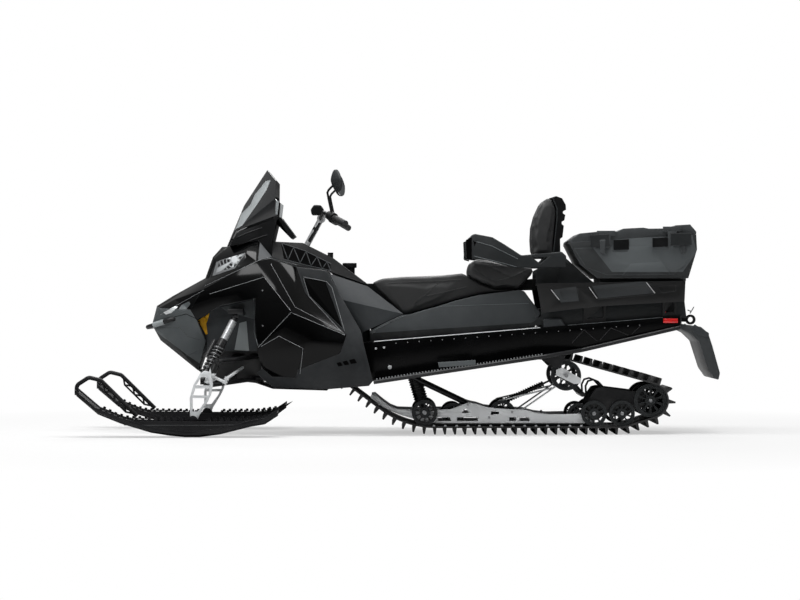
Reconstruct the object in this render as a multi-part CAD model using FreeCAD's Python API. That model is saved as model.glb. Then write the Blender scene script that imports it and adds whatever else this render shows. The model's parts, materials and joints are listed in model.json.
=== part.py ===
# A two-up utility snowmobile: steered skis on a raked spindle, an enclosed nose and hood over the
# engine, a long tunnel with the track and its slide rail suspension, driver and passenger seats,
# and a rack with a lidded cargo box.
# Frame: millimetres, +X to the nose, +Y to the rider's left, +Z up. The origin is on the ground
# under the middle of the machine.
import FreeCAD
import Part
import math
import os

Vector = FreeCAD.Vector
ORIGIN = Vector(0, 0, 0)
UP = Vector(0, 0, 1)
LEFTWARD = Vector(0, 1, 0)
FORWARD = Vector(1, 0, 0)
SIDES = (1, -1)
FULL_TURN = 360.0
QUARTER_TURN = 90.0

# Whole machine
ski_stance = 1000.0
ski_width = 190.0
running_clearance = 0.3
seat_gap = 0.3
cut_overrun = 5.0

# Track and the wheels that it runs over
track_width = 508.0
belt_thickness = 8.0
lug_height = 34.0
lug_length = 16.0
lug_tip_length = 9.0
lug_count = 70
arc_step_deg = 3.0
front_curve_radius = 476.0
front_curve_x = -185.0
drive_axle_x = 222.0
drive_axle_z = 338.0
drive_wheel_radius = 88.0
carrier_axle_x = -879.0
carrier_axle_z = 311.0
carrier_wheel_radius = 80.0
rear_axle_x = -1326.0
rear_axle_z = 179.0
rear_wheel_radius = 88.0
bogie_radius = 68.0
small_bogie_radius = 60.0
front_bogie_x = -131.0
small_bogie_x = -280.0
mid_bogie_x = -545.0
inner_bogie_x = -950.0
near_bogie_x = -1027.0
last_bogie_x = -1175.0
belt_top_z = lug_height + belt_thickness
bogie_axle_z = belt_top_z + running_clearance + bogie_radius
small_bogie_axle_z = belt_top_z + running_clearance + small_bogie_radius

# Slide rails and what they carry
rail_rear_reach = 3.0
rail_front_gap = 62.0
rail_height = 148.0
rail_spacing = 380.0
rail_thickness = 10.0
shoe_height = 15.0
shoe_width = 26.0
shoe_front_x = -192.0
rail_base_z = belt_top_z + running_clearance + shoe_height
wheel_width = 30.0
wheel_side_gap = 9.0
shaft_radius = 10.0
bore_clearance = 0.2
hub_radius = 24.0
rim_share = 0.8
web_share = 0.3
spoke_count = 10
spoke_margin = 4.5
spoke_share = 0.34
shaft_end_length = 3.0
bracket_rear_reach = 46.0
bracket_front_reach = 39.0
bracket_base_z = 60.0
bracket_height = 190.0
bracket_thickness = 6.0
rail_rear_x = near_bogie_x - rail_rear_reach
rail_length = drive_axle_x - rail_front_gap - rail_rear_x
bracket_rear_x = rear_axle_x - bracket_rear_reach
bracket_length = near_bogie_x + bracket_front_reach - bracket_rear_x
rail_face_y = rail_spacing / 2 - rail_thickness / 2
rail_outer_y = rail_spacing / 2 + rail_thickness / 2
outer_wheel_y = rail_outer_y + wheel_side_gap + wheel_width / 2
inner_wheel_y = rail_face_y - wheel_side_gap - wheel_width / 2
shaft_half = outer_wheel_y + wheel_width / 2 + shaft_end_length
sprocket_y = 95.0
sprocket_width = 40.0
drive_shaft_radius = 15.0

# Torque arms, springs and dampers of the track suspension
arm_pivot_front_x = 54.0
arm_pivot_front_z = 355.0
arm_foot_front_x = -362.0
arm_foot_front_z = 156.0
arm_foot_rear_x = -970.0
arm_foot_rear_z = 210.0
torque_tube_radius = 13.5
torque_tube_y = 120.0
track_shock_pin_x = -462.0
track_shock_pin_z = 122.0
track_shock_radius = 16.0
front_shock_pin_x = -59.0
front_shock_pin_z = 360.0
front_shock_radius = 38.0

# Tunnel and running boards
tunnel_side_gap = 12.0
tunnel_wall = 4.0
tunnel_front_x = 400.0
tunnel_rear_x = -1478.0
tunnel_front_top_z = 470.0
tunnel_rear_top_z = 627.0
tunnel_front_low_z = 268.0
tunnel_rear_low_z = 567.0
tunnel_half = track_width / 2 + tunnel_side_gap + tunnel_wall
board_front_x = 138.0
board_front_z = 282.0
board_rear_x = -960.0
board_rear_z = 447.0
board_taper_x = -760.0
board_half = 425.0
board_thickness = 5.0
board_tube_radius = 11.0
board_bend_radius = 60.0

# Body shell: the box that the shares of its points follow, and its wall sizes
cowl_rear_x = 150.0
cowl_length = 1225.0
cowl_base_z = 245.0
cowl_height = 785.0
cowl_half_width = 432.0
panel_thickness = 7.0
hood_gap = 1.0
hood_thickness = 12.0
screen_thickness = 5.0
bumper_radius = 12.0
bumper_bend_radius = 45.0
belly_thickness = 5.0

# Front frame and engine
frame_rear_x = 735.0
frame_half = 128.0
frame_top_z = 637.0
tower_front_x = 905.0
tower_rear_x = 825.0
tower_height = 28.0
tower_half = 318.0
engine_half = 190.0
engine_base_z = 300.0
engine_top_z = 630.0

# Plates behind the front shocks
fender_rear_x = 745.0
fender_half = 196.0
fender_thickness = 6.0
fender_low_z = 440.0
fender_top_z = 738.0
fender_front_gap = 5.0

# Steered front end, given for the left side
rake_deg = 23.5
foot_x = 1073.0
foot_z = 86.0
trail = 10.0
kingpin_inset = 30.0
lower_joint_rise = 195.0
upper_joint_rise = 330.0
kingpin_radius = 9.0
kingpin_tube_radius = 20.0
ring_radius = 18.0
ring_height = 20.0
ring_gap = 3.0
joint_room = 6.0
pin_clearance = 0.3
foot_radius = 15.0
foot_width = 50.0
bolt_radius = 8.0
leg_thickness = 18.0
leg_rear_x = 940.0
leg_length = 160.0
leg_base_z = 78.0
leg_height = 270.0
steering_arm_rise = 250.0
steering_arm_reach = 80.0
steering_arm_radius = 10.0
tie_ball_radius = 13.0
tie_pin_radius = 5.0
tie_rod_radius = 8.0
tie_inner_x = 835.0
tie_inner_y = 205.0
tie_inner_z = 352.0
arm_tube_radius = 12.0
arm_boss_length = 60.0
lower_arm_front_x = 905.0
lower_arm_rear_x = 770.0
lower_arm_inner_z = 292.0
upper_arm_front_x = 860.0
upper_arm_rear_x = 765.0
upper_arm_inner_z = 410.0
shock_seat_inset = 58.0
shock_seat_width = 24.0
shock_foot_x = 1030.0
shock_head_x = 866.0
shock_head_y = 290.0
shock_body_radius = 20.0
shock_collar_radius = 25.0
shock_rod_radius = 9.0
shock_core_radius = 19.0
shock_spring_radius = 28.0
coil_wire_radius = 4.5
coil_pitch = 13.0
reservoir_radius = 15.0
shock_eye_radius = 14.0
shock_eye_width = 26.0
shock_spring_share = 0.52
shock_collar_share = 0.10
shock_bottle_share = 0.36

# Skis
ski_rear_x = 633.0
ski_length = 1045.0
ski_rise = 221.0
ski_deck_thickness = 12.0
ski_keel_depth = 14.0
ski_keel_width = 46.0
ski_edge_width = 12.0
ski_edge_height = 22.0
ski_ear_thickness = 8.0
ski_ear_gap = 2.0
ski_ear_radius = 26.0
ski_ear_length = 150.0
loop_tube_radius = 11.0
loop_bend_radius = 30.0
lattice_radius = 5.0
lattice_depth = 26.0

# Seats
seat_rear_x = -630.0
seat_length = 790.0
seat_low_z = 636.0
seat_height = 220.0
seat_half = 160.0
base_rear_x = -735.0
base_length = 900.0
base_low_z = 500.0
base_height = 280.0
base_half = 235.0
passenger_rear_x = -720.0
passenger_length = 370.0
passenger_height = 160.0
passenger_half = 175.0
armrest_rear_x = -880.0
armrest_length = 535.0
armrest_low_z = 880.0
armrest_height = 180.0
armrest_inner_y = 215.0
armrest_width = 75.0
backrest_rear_x = -888.0
backrest_length = 185.0
backrest_low_z = 948.0
backrest_height = 315.0
backrest_half = 150.0
seat_frame_radius = 12.0
seat_frame_x = -845.0
seat_frame_plate = 8.0
seat_frame_y = 190.0
seat_frame_front_x = -722.0
seat_frame_length = 240.0
seat_frame_height = 144.0

# Rack, cargo box and tail
rack_rear_x = -1510.0
rack_length = 790.0
rack_low_z = 640.0
rack_height = 172.0
rack_half = 300.0
rack_wall = 12.0
rack_deck_thickness = 10.0
cover_half = 235.0
cover_front_x = -745.0
cover_rear_x = -1400.0
cover_height = 98.0
rack_front_post_x = -1030.0
rack_front_post_length = 116.0
rack_rear_post_x = -1424.0
rack_rear_post_length = 72.0
box_front_gap = 6.0
box_length = 676.0
box_rear_x = backrest_rear_x - box_front_gap - box_length
box_low_z = 825.0
box_height = 230.0
box_half = 280.0
box_wall = 6.0
box_rim_steps = 4
box_panel_depth = 4.0
box_bulge_depth = 3.0
lid_low_z = 1020.0
lid_height = 90.0
lid_seam = 1.0
hinge_radius = 7.0
hinge_pin_radius = 3.0
hinge_offset = 9.0
hinge_length = 90.0
hinge_z = 1036.0
hinge_knuckle_gap = 2.0
hinge_leaf_height = 34.0
hinge_leaf_thickness = 5.0
latch_length = 46.0
latch_drop = 42.0
latch_rise = 24.0
latch_thickness = 8.0
latch_clearance = 5.0
latch_pad_length = 96.0
latch_pad_height = 26.0
lamp_bar_half = 90.0
lamp_bar_height = 34.0
lamp_bar_length = 22.0
reflector_front_x = -1389.0
reflector_length = 77.0
reflector_height = 24.0
reflector_thickness = 6.0
flap_rear_x = -1692.4
flap_length = 187.0
flap_low_z = 289.0
flap_height = 285.0
flap_half = 245.0
hitch_plate_thickness = 8.0
hitch_plate_height = 52.0
hitch_x = -1562.0
hitch_z = 606.0
hitch_radius = 27.0
hitch_bore_radius = 14.0
hitch_width = 30.0
hitch_bar_height = 24.0

# Steering post and what turns with it
post_lean = 76.0
post_rise = 140.0
post_radius = 16.0
post_depth = 45.0
post_bore_clearance = 0.3
bar_radius = 11.0
bar_bend_radius = 40.0
clamp_half = 34.0
clamp_radius = 22.0
grip_radius = 17.0
grip_length = 120.0
bar_kick_back = 20.0
bar_kick_y = 190.0
bar_kick_rise = 28.0
bar_end_back = 134.0
bar_end_y = 405.0
bar_end_drop = 36.0
control_length = 62.0
control_depth = 50.0
mirror_stem_radius = 6.0
mirror_bend_radius = 14.0
mirror_elbow_rise = 92.0
mirror_elbow_reach = 14.0
mirror_head_rise = 50.0
mirror_head_reach = 34.0
mirror_head_half_width = 80.0
mirror_head_half_height = 54.0
mirror_head_depth = 34.0
mirror_head_offset = 18.0
cap_radius = 38.0
cap_height = 26.0
cap_neck_radius = 28.0
cap_neck_length = 46.0
key_radius = 15.0
key_height = 24.0

# Points of the body shell on the left side, as shares of the cowl box: forward, outward, upward
cowl_shares = {
    "bumper_corner": (0.955, 0.345, 0.425),
    "nose_shoulder": (0.783, 0.590, 0.529),
    "nose_cheek": (0.754, 0.606, 0.456),
    "nose_crease": (0.809, 0.428, 0.216),
    "nose_rear": (0.718, 0.528, 0.317),
    "nose_keel_front": (0.920, 0.278, 0.320),
    "nose_keel_rear": (0.757, 0.278, 0.115),
    "hood_lip": (0.920, 0.440, 0.540),
    "hood_lip_centre": (0.945, 0.000, 0.553),
    "hood_nose_centre": (0.875, 0.000, 0.621),
    "hood_nose": (0.856, 0.394, 0.597),
    "lamp_low": (0.718, 0.440, 0.736),
    "lamp_low_centre": (0.732, 0.000, 0.744),
    "lamp_top": (0.684, 0.428, 0.874),
    "lamp_top_centre": (0.699, 0.000, 0.888),
    "screen_base_centre": (0.658, 0.000, 0.959),
    "screen_base": (0.625, 0.347, 0.956),
    "lens_low": (0.701, 0.490, 0.742),
    "lens_top": (0.674, 0.470, 0.856),
    "lens_rear_top": (0.546, 0.600, 0.912),
    "lens_rear": (0.543, 0.620, 0.881),
    "lens_rear_low": (0.590, 0.615, 0.806),
    "dash_base": (0.492, 0.498, 0.999),
    "panel_shoulder": (0.732, 0.660, 0.663),
    "panel_top_mid": (0.497, 0.752, 0.856),
    "panel_top": (0.436, 0.764, 0.874),
    "panel_top_rear": (0.322, 0.729, 0.816),
    "vent_front": (0.283, 0.799, 0.636),
    "panel_rear": (0.105, 0.938, 0.360),
    "panel_low_rear": (0.133, 0.984, 0.236),
    "panel_low": (0.310, 0.961, 0.129),
    "cover_low_rear": (0.322, 0.926, 0.075),
    "cover_low": (0.425, 0.891, 0.083),
    "cover_low_front": (0.466, 0.868, 0.136),
    "cover_front": (0.489, 0.868, 0.252),
    "cover_top_front": (0.484, 0.872, 0.314),
    "panel_front": (0.500, 0.861, 0.457),
    "panel_front_top": (0.495, 0.833, 0.601),
    "panel_arch": (0.647, 0.718, 0.556),
    "band_end": (0.461, 0.822, 0.744),
    "panel_peak": (0.338, 0.984, 0.512),
    "cover_peak": (0.390, 0.961, 0.365),
    "cover_rear": (0.287, 0.991, 0.263),
    "knee_top": (0.191, 0.694, 0.788),
    "knee_mid": (0.122, 0.787, 0.594),
    "knee_low": (0.044, 0.914, 0.387),
    "well_rear_top": (0.031, 0.972, 0.294),
    "well_rear": (-0.007, 1.000, 0.055),
    "well_rear_low": (0.010, 0.984, 0.022),
    "well_low": (0.185, 0.926, -0.001),
    "well_low_front": (0.415, 0.833, 0.010),
    "well_front": (0.464, 0.810, 0.059),
    "well_front_top": (0.490, 0.815, 0.108),
    "vent_top": (0.198, 0.722, 0.718),
    "vent_corner": (0.295, 0.755, 0.753),
    "vent_low": (0.122, 0.925, 0.404),
    "vent_mid": (0.265, 0.797, 0.624),
    "post_foot": (0.285714, 0.000, 0.971975),
    "cap_base": (0.098776, 0.000, 0.814013),
    "key_base": (0.183000, 0.000, 0.888000),
    "gauge_top": (0.394, 0.347, 1.153),
    "gauge_end": (0.335, 0.347, 1.029),
    "gauge_under": (0.352, 0.347, 1.011),
    "console_front": (0.429, 0.347, 0.990),
    "console_front_low": (0.431, 0.532, 0.884),
    "console_top": (0.300, 0.347, 0.981),
    "console_mid": (0.170, 0.301, 0.880),
    "console_rear": (0.026, 0.255, 0.711),
    "console_low_rear": (0.025, 0.347, 0.702),
    "console_low_mid": (0.194, 0.463, 0.793),
    "console_low": (0.324, 0.556, 0.831),
    "tank_front": (0.183, 0.475, 0.772),
    "tank_rear": (0.018, 0.345, 0.686),
    "tank_seat": (-0.136, 0.463, 0.500),
    "tank_low_rear": (0.009, 0.560, 0.397),
    "tank_low": (0.038, 0.560, 0.375),
    "tank_knee": (0.124, 0.560, 0.594),
    "screen_foot": (0.632, 0.300, 0.950),
    "screen_corner": (0.590, 0.463, 1.062),
    "screen_ridge": (0.558, 0.208, 1.236),
    "screen_tip": (0.455, 0.300, 1.476),
    "screen_top": (0.4155, 0.498, 1.400),
    "screen_rear": (0.418, 0.579, 1.275),
    "screen_low_rear": (0.415, 0.556, 1.162),
    "fin_top": (0.402, 0.648, 1.255),
    "fin_low": (0.410, 0.648, 1.155),
}

side_panel_faces = (
    ("nose_shoulder", "panel_shoulder", "panel_arch"),
    ("nose_shoulder", "panel_arch", "nose_cheek"),
    ("panel_shoulder", "panel_top_mid", "band_end"),
    ("panel_shoulder", "band_end", "panel_arch"),
    ("panel_arch", "band_end", "panel_front_top"),
    ("panel_top_mid", "panel_top", "band_end"),
    ("panel_top", "panel_peak", "band_end"),
    ("panel_top", "panel_top_rear", "panel_peak"),
    ("panel_top_rear", "vent_front", "panel_peak"),
    ("vent_front", "panel_rear", "panel_peak"),
    ("band_end", "panel_peak", "cover_top_front"),
    ("band_end", "cover_top_front", "panel_front"),
    ("band_end", "panel_front", "panel_front_top"),
    ("cover_top_front", "cover_front", "panel_front"),
    ("panel_peak", "cover_peak", "cover_top_front"),
    ("cover_top_front", "cover_peak", "cover_front"),
    ("panel_peak", "panel_rear", "cover_rear"),
    ("panel_rear", "panel_low_rear", "cover_rear"),
    ("panel_peak", "cover_rear", "cover_peak"),
    ("cover_front", "cover_peak", "cover_rear"),
    ("cover_front", "cover_rear", "cover_low_rear"),
    ("cover_front", "cover_low_rear", "cover_low"),
    ("cover_front", "cover_low", "cover_low_front"),
    ("cover_rear", "panel_low_rear", "panel_low"),
    ("cover_rear", "panel_low", "cover_low_rear"),
)
footwell_faces = (
    ("panel_top_rear", "knee_top", "vent_top"),
    ("panel_top_rear", "vent_top", "vent_corner"),
    ("panel_top_rear", "vent_corner", "vent_front"),
    ("vent_corner", "vent_mid", "vent_front"),
    ("vent_front", "vent_mid", "panel_rear"),
    ("vent_mid", "vent_low", "panel_rear"),
    ("knee_top", "knee_mid", "vent_top"),
    ("knee_mid", "vent_low", "vent_top"),
    ("knee_mid", "knee_low", "vent_low"),
    ("knee_low", "panel_rear", "vent_low"),
    ("knee_low", "well_rear_top", "panel_rear"),
    ("well_rear_top", "panel_low_rear", "panel_rear"),
    ("panel_low_rear", "well_rear_top", "well_rear"),
    ("panel_low_rear", "well_rear", "well_rear_low"),
    ("panel_low_rear", "well_rear_low", "well_low"),
    ("panel_low_rear", "well_low", "panel_low"),
    ("panel_low", "well_low", "cover_low_rear"),
    ("cover_low_rear", "well_low", "well_low_front"),
    ("cover_low_rear", "well_low_front", "cover_low"),
    ("cover_low", "well_low_front", "well_front"),
    ("cover_low", "well_front", "cover_low_front"),
    ("cover_low_front", "well_front", "well_front_top"),
)
vent_faces = (
    ("vent_corner", "vent_top", "vent_low"),
    ("vent_corner", "vent_low", "vent_mid"),
)
nose_faces = (
    ("hood_lip_centre", "hood_lip", "bumper_corner"),
    ("hood_lip", "nose_shoulder", "bumper_corner"),
    ("bumper_corner", "nose_shoulder", "nose_cheek"),
    ("bumper_corner", "nose_cheek", "nose_crease"),
    ("nose_cheek", "nose_rear", "nose_crease"),
    ("bumper_corner", "nose_crease", "nose_keel_front"),
    ("nose_crease", "nose_rear", "nose_keel_rear"),
    ("nose_crease", "nose_keel_rear", "nose_keel_front"),
)
hood_faces = (
    ("hood_lip_centre", "hood_nose_centre", "hood_nose"),
    ("hood_lip_centre", "hood_nose", "hood_lip"),
    ("hood_nose_centre", "lamp_low_centre", "lamp_low"),
    ("hood_nose_centre", "lamp_low", "hood_nose"),
    ("lamp_low_centre", "lamp_top_centre", "lamp_top"),
    ("lamp_low_centre", "lamp_top", "lamp_low"),
    ("lamp_top_centre", "screen_base_centre", "screen_base"),
    ("lamp_top_centre", "screen_base", "lamp_top"),
    ("hood_lip", "hood_nose", "nose_shoulder"),
    ("hood_nose", "panel_shoulder", "nose_shoulder"),
    ("hood_nose", "lamp_low", "panel_shoulder"),
    ("lamp_low", "lens_low", "panel_shoulder"),
    ("lamp_low", "lamp_top", "lens_top"),
    ("lamp_low", "lens_top", "lens_low"),
    ("lens_low", "lens_rear_low", "panel_shoulder"),
    ("lens_rear_low", "panel_top_mid", "panel_shoulder"),
    ("lens_rear_low", "lens_rear", "panel_top_mid"),
    ("lens_rear", "lens_rear_top", "panel_top_mid"),
    ("lamp_top", "screen_base", "lens_top"),
    ("screen_base", "lens_rear_top", "lens_top"),
    ("screen_base", "dash_base", "lens_rear_top"),
    ("dash_base", "panel_top_mid", "lens_rear_top"),
    ("dash_base", "console_front_low", "panel_top_mid"),
    ("console_front_low", "panel_top", "panel_top_mid"),
)
lens_faces = (
    ("lens_low", "lens_top", "lens_rear_top"),
    ("lens_low", "lens_rear_top", "lens_rear"),
    ("lens_low", "lens_rear", "lens_rear_low"),
)
console_faces = (
    ("console_front", "console_front_low", "console_low"),
    ("console_front", "console_low", "console_top"),
    ("console_top", "console_low", "console_low_mid"),
    ("console_top", "console_low_mid", "console_mid"),
    ("console_mid", "console_low_mid", "console_low_rear"),
    ("console_mid", "console_low_rear", "console_rear"),
    ("console_front_low", "panel_top", "panel_top_rear"),
    ("console_front_low", "panel_top_rear", "console_low"),
    ("console_low", "panel_top_rear", "knee_top"),
    ("console_low", "knee_top", "console_low_mid"),
)
tank_faces = (
    ("tank_front", "tank_knee", "tank_rear"),
    ("tank_rear", "tank_knee", "tank_seat"),
    ("tank_knee", "tank_low_rear", "tank_seat"),
    ("tank_knee", "tank_low", "tank_low_rear"),
)
screen_faces = (
    ("screen_foot", "screen_corner", "screen_ridge"),
    ("screen_corner", "screen_rear", "screen_ridge"),
    ("screen_corner", "screen_low_rear", "screen_rear"),
    ("screen_ridge", "screen_rear", "screen_top"),
    ("screen_ridge", "screen_top", "screen_tip"),
    ("screen_low_rear", "fin_low", "screen_rear"),
    ("fin_low", "fin_top", "screen_rear"),
)
screen_middle = ("screen_foot", "screen_ridge", "screen_tip")
hood_edge = ("nose_shoulder", "panel_shoulder", "panel_top_mid", "panel_top")
shelf_edge = ("panel_top", "panel_top_rear", "knee_top")

# Side outlines, as shares of each piece's own box: forward, upward
rail_shares = (
    (0.996, 0.900), (0.994, 1.016), (0.979, 1.034), (0.941, 0.783), (0.910, 0.604), (0.877, 0.500),
    (0.816, 0.485), (0.642, 0.500), (0.598, 0.622), (0.560, 0.747), (0.518, 0.675), (0.483, 0.582),
    (0.419, 0.518), (0.306, 0.478), (0.259, 0.371), (0.203, 0.317), (0.018, 0.342), (0.000, 0.000),
    (0.705, 0.000), (0.776, 0.084), (0.866, 0.299), (0.932, 0.539),
)
rail_window_shares = (
    ((0.697, 0.080), (0.697, 0.210), (0.645, 0.210), (0.636, 0.080)),
    ((0.612, 0.080), (0.612, 0.210), (0.524, 0.210), (0.515, 0.080)),
    ((0.378, 0.080), (0.378, 0.210), (0.349, 0.210), (0.349, 0.080)),
    ((0.333, 0.080), (0.333, 0.200), (0.293, 0.210), (0.287, 0.080)),
    ((0.591, 0.363), (0.573, 0.525), (0.555, 0.363)),
    ((0.462, 0.300), (0.458, 0.420), (0.424, 0.410), (0.424, 0.330)),
)
bracket_shares = (
    (1.004, 0.244), (0.976, 0.579), (0.924, 0.791), (0.866, 0.956), (0.796, 0.992), (0.327, 0.872),
    (0.106, 0.858), (0.009, 0.663), (0.092, 0.411), (0.300, 0.440), (0.430, 0.190), (0.600, 0.190),
    (0.727, 0.300), (0.838, 0.076), (0.948, 0.076),
)
seat_shares = (
    (0.994, 0.760), (0.916, 0.859), (0.797, 0.900), (0.528, 0.934), (0.378, 0.985),
)
seat_step_shares = ((0.191, 0.600), (0.000, 0.600))
base_low_shares = ((0.088, 0.924), (-0.010, 0.516), (0.023, 0.264))
base_top_shares = (
    (0.120, 0.945), (0.351, 0.848), (0.485, 0.744), (0.592, 0.635), (0.758, 0.480), (0.804, 0.466),
)
base_nose_shares = ((0.815, 0.455), (0.905, 0.319), (0.996, 0.168))
passenger_shares = (
    (0.991, 0.678), (0.960, 0.880), (0.883, 1.000), (0.653, 0.960), (0.437, 0.850),
    (0.035, 0.730), (0.012, 0.595), (0.242, 0.000),
)
passenger_front_shares = ((0.999, 0.475), (0.782, 0.176), (0.575, 0.000))
armrest_shares = (
    (0.994, 0.290), (0.985, 0.780), (0.940, 0.965), (0.905, 1.000), (0.732, 0.900), (0.608, 0.680),
    (0.450, 0.370), (0.263, 0.420), (0.052, 0.480), (0.006, 0.352), (0.006, 0.024), (0.510, 0.006),
    (0.598, 0.073), (0.780, 0.232),
)
armrest_window_shares = ((0.336, 0.300), (0.262, 0.120), (0.192, 0.310))
backrest_shares = (
    (0.978, 0.000), (1.001, 0.265), (0.978, 0.469), (0.880, 0.655), (0.707, 0.842), (0.505, 0.969),
    (0.302, 1.008), (0.129, 0.972), (0.022, 0.859), (0.017, 0.706), (0.057, 0.570), (0.144, 0.284),
    (0.178, 0.000),
)
seat_frame_shares = ((1.000, 0.450), (0.400, 1.000), (0.000, 0.400))
rack_window_shares = (
    ((0.849, 0.719), (0.725, 0.762), (0.725, 0.413), (0.825, 0.413)),
    ((0.611, 0.762), (0.271, 0.855), (0.217, 0.587), (0.587, 0.434)),
    ((0.192, 0.826), (0.072, 0.872), (0.072, 0.686), (0.165, 0.628)),
)
rack_side_shares = (
    (1.002, 0.915), (0.008, 0.998), (0.014, 0.370), (0.605, 0.214), (0.966, 0.015),
)
box_shares = (
    (1.000, 0.800), (0.919, 0.330), (0.782, 0.004), (0.073, 0.004), (0.005, 0.660), (0.011, 1.006),
    (0.747, 0.869), (0.976, 0.834),
)
lid_edge_shares = ((1.000, -0.122), (0.976, -0.035), (0.747, 0.053), (0.011, 0.405))
lid_top_shares = (
    (0.011, 0.563),
    (0.059, 0.985), (0.173, 0.932), (0.196, 0.756), (0.380, 0.739), (0.426, 0.798), (0.579, 0.739),
    (0.632, 0.551), (0.701, 0.616), (0.919, 0.458), (0.994, 0.042),
)
flap_shares = (
    (1.120, 1.040), (0.543, 0.985), (0.336, 0.870), (0.221, 0.643), (0.000, 0.124),
    (0.040, 0.000), (0.152, 0.020), (0.336, 0.191), (0.587, 0.705), (0.836, 0.860), (1.120, 0.940),
)
leg_shares = (
    (0.928, -0.001), (0.941, 0.460), (0.824, 0.710), (0.597, 0.941), (0.451, 0.989),
    (0.273, 0.951), (0.191, 0.730), (0.256, 0.518), (0.370, 0.384), (0.629, 0.134),
    (0.727, -0.001),
)
leg_window_shares = (
    ((0.744, 0.704), (0.581, 0.859), (0.350, 0.859), (0.281, 0.704)),
    ((0.838, 0.511), (0.769, 0.644), (0.300, 0.644), (0.344, 0.511)),
    ((0.856, 0.459), (0.856, 0.200), (0.688, 0.200), (0.456, 0.384), (0.394, 0.459)),
)
keel_shares = (
    (1.000, 0.965), (0.893, 0.533), (0.780, 0.317), (0.627, 0.101), (0.536, 0.035), (0.462, 0.000),
    (0.388, 0.000), (0.285, 0.065), (0.133, 0.246), (0.064, 0.300), (0.000, 0.498),
)
lattice_chord_shares = (0.06, 0.20, 0.78, 0.94)
lattice_brace_shares = (0.20, 0.34, 0.49, 0.64, 0.78)
loop_shares = (
    (1.000, 0.985), (1.000, 1.215), (0.940, 1.400), (0.880, 1.330), (0.700, 0.490),
)
box_foot_shares = (0.08, 0.76)
box_foot_share = 0.75
box_panel_shares = (
    (0.967, 0.690), (0.870, 0.250), (0.705, 0.080), (0.190, 0.090), (0.085, 0.350), (0.040, 0.760),
)
box_bulge_shares = ((0.585, 0.075), (0.520, 0.330), (0.285, 0.380), (0.215, 0.090))
grip_recess_shares = (
    ((0.672, 0.900), (0.672, 0.600), (0.545, 0.600), (0.545, 0.900)),
    ((0.350, 1.000), (0.350, 0.640), (0.222, 0.640), (0.222, 1.000)),
)
hinge_shares = (0.200, 0.750)
latch_shares = (0.201, 0.716)
steering_arm_share = 0.8
coil_shares = (0.15, 0.35, 0.65, 0.85)
# The belly pan's stations: forward and upward in the cowl box, and half width
belly_shares = (
    (0.755, 0.259, 0.112), (0.694, 0.259, 0.060), (0.506, 0.266, 0.029), (0.423, 0.800, -0.001),
    (0.188, 0.880, -0.011),
)


def compound(shapes):
    return Part.makeCompound(list(shapes))


def joined(shapes):
    pieces = list(shapes)
    whole = pieces[0]
    for piece in pieces[1:]:
        whole = whole.fuse(piece)
    return whole


def fused(shapes):
    whole = joined(shapes).removeSplitter()
    return whole.Solids[0] if len(whole.Solids) == 1 else whole


def mirrored(shape):
    return shape.mirror(ORIGIN, LEFTWARD)


def both_sides(shape):
    return compound([shape, mirrored(shape)])


def moved(shape, x=0.0, y=0.0, z=0.0):
    copy = shape.copy()
    copy.translate(Vector(x, y, z))
    return copy


def placed(shares, rear_x, length, base_z, height):
    return [(rear_x + along * length, base_z + up * height) for along, up in shares]


def prism(outline, y_low, y_high):
    corners = [Vector(x, y_low, z) for x, z in outline]
    face = Part.Face(Part.makePolygon(corners + corners[:1]))
    return face.extrude(Vector(0, y_high - y_low, 0))


def block(rear_x, front_x, y_low, y_high, low_z, top_z):
    return Part.makeBox(front_x - rear_x, y_high - y_low, top_z - low_z, Vector(rear_x, y_low, low_z))


def rod(start, end, radius):
    return Part.makeCylinder(radius, start.distanceToPoint(end), start, end - start)


def cross_rod(x, z, radius, y_low, y_high):
    return rod(Vector(x, y_low, z), Vector(x, y_high, z), radius)


def bent_tube(points, radius, bend_radius):
    edges = []
    start = points[0]
    for before, corner, after in zip(points, points[1:], points[2:]):
        back = (before - corner).normalize()
        ahead = (after - corner).normalize()
        half_turn = (math.pi - back.getAngle(ahead)) / 2
        reach = bend_radius * math.tan(half_turn)
        arc_start = corner + back * reach
        arc_end = corner + ahead * reach
        middle = (back + ahead).normalize()
        centre_distance = bend_radius / math.cos(half_turn)
        arc_middle = corner + middle * (centre_distance - bend_radius)
        edges.append(Part.LineSegment(start, arc_start).toShape())
        edges.append(Part.Arc(arc_start, arc_middle, arc_end).toShape())
        start = arc_end
    edges.append(Part.LineSegment(start, points[-1]).toShape())
    path = Part.Wire(edges)
    circle = Part.makeCircle(radius, points[0], points[1] - points[0])
    return path.makePipeShell([Part.Wire([circle])], True, False)


def solid_of(polygons):
    faces = [Part.Face(Part.makePolygon(list(polygon) + [polygon[0]])) for polygon in polygons]
    shape = Part.Solid(Part.makeShell(faces))
    if shape.Volume < 0:
        shape.reverse()
    return shape


def border_edges(faces):
    sides = [(face[k - 1], face[k]) for face in faces for k in range(len(face))]
    return [(start, end) for start, end in sides if (end, start) not in sides]


def turned(faces, points):
    # The faces of a table, each pair of neighbours wound alike, starting from the first.
    remaining = [tuple(face) for face in faces]
    done = [remaining.pop(0)]
    while remaining:
        sides = {(face[k - 1], face[k]) for face in done for k in range(len(face))}
        for face in remaining:
            own = [(face[k - 1], face[k]) for k in range(len(face))]
            if any((end, start) in sides for start, end in own):
                done.append(face)
                break
            if any(side in sides for side in own):
                done.append(face[::-1])
                break
        else:
            face = remaining[0]
            done.append(face)
        remaining.remove(face)
    return done


def skin(points, faces, shift):
    wound = turned(faces, points)
    polygons = [[points[name] for name in face] for face in wound]
    polygons += [[points[name] + shift for name in face] for face in wound]
    for start, end in border_edges(wound):
        polygons.append([points[start], points[end], points[end] + shift, points[start] + shift])
    return solid_of(polygons)


def mirror_point(point):
    return Vector(point.x, -point.y, point.z)


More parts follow.
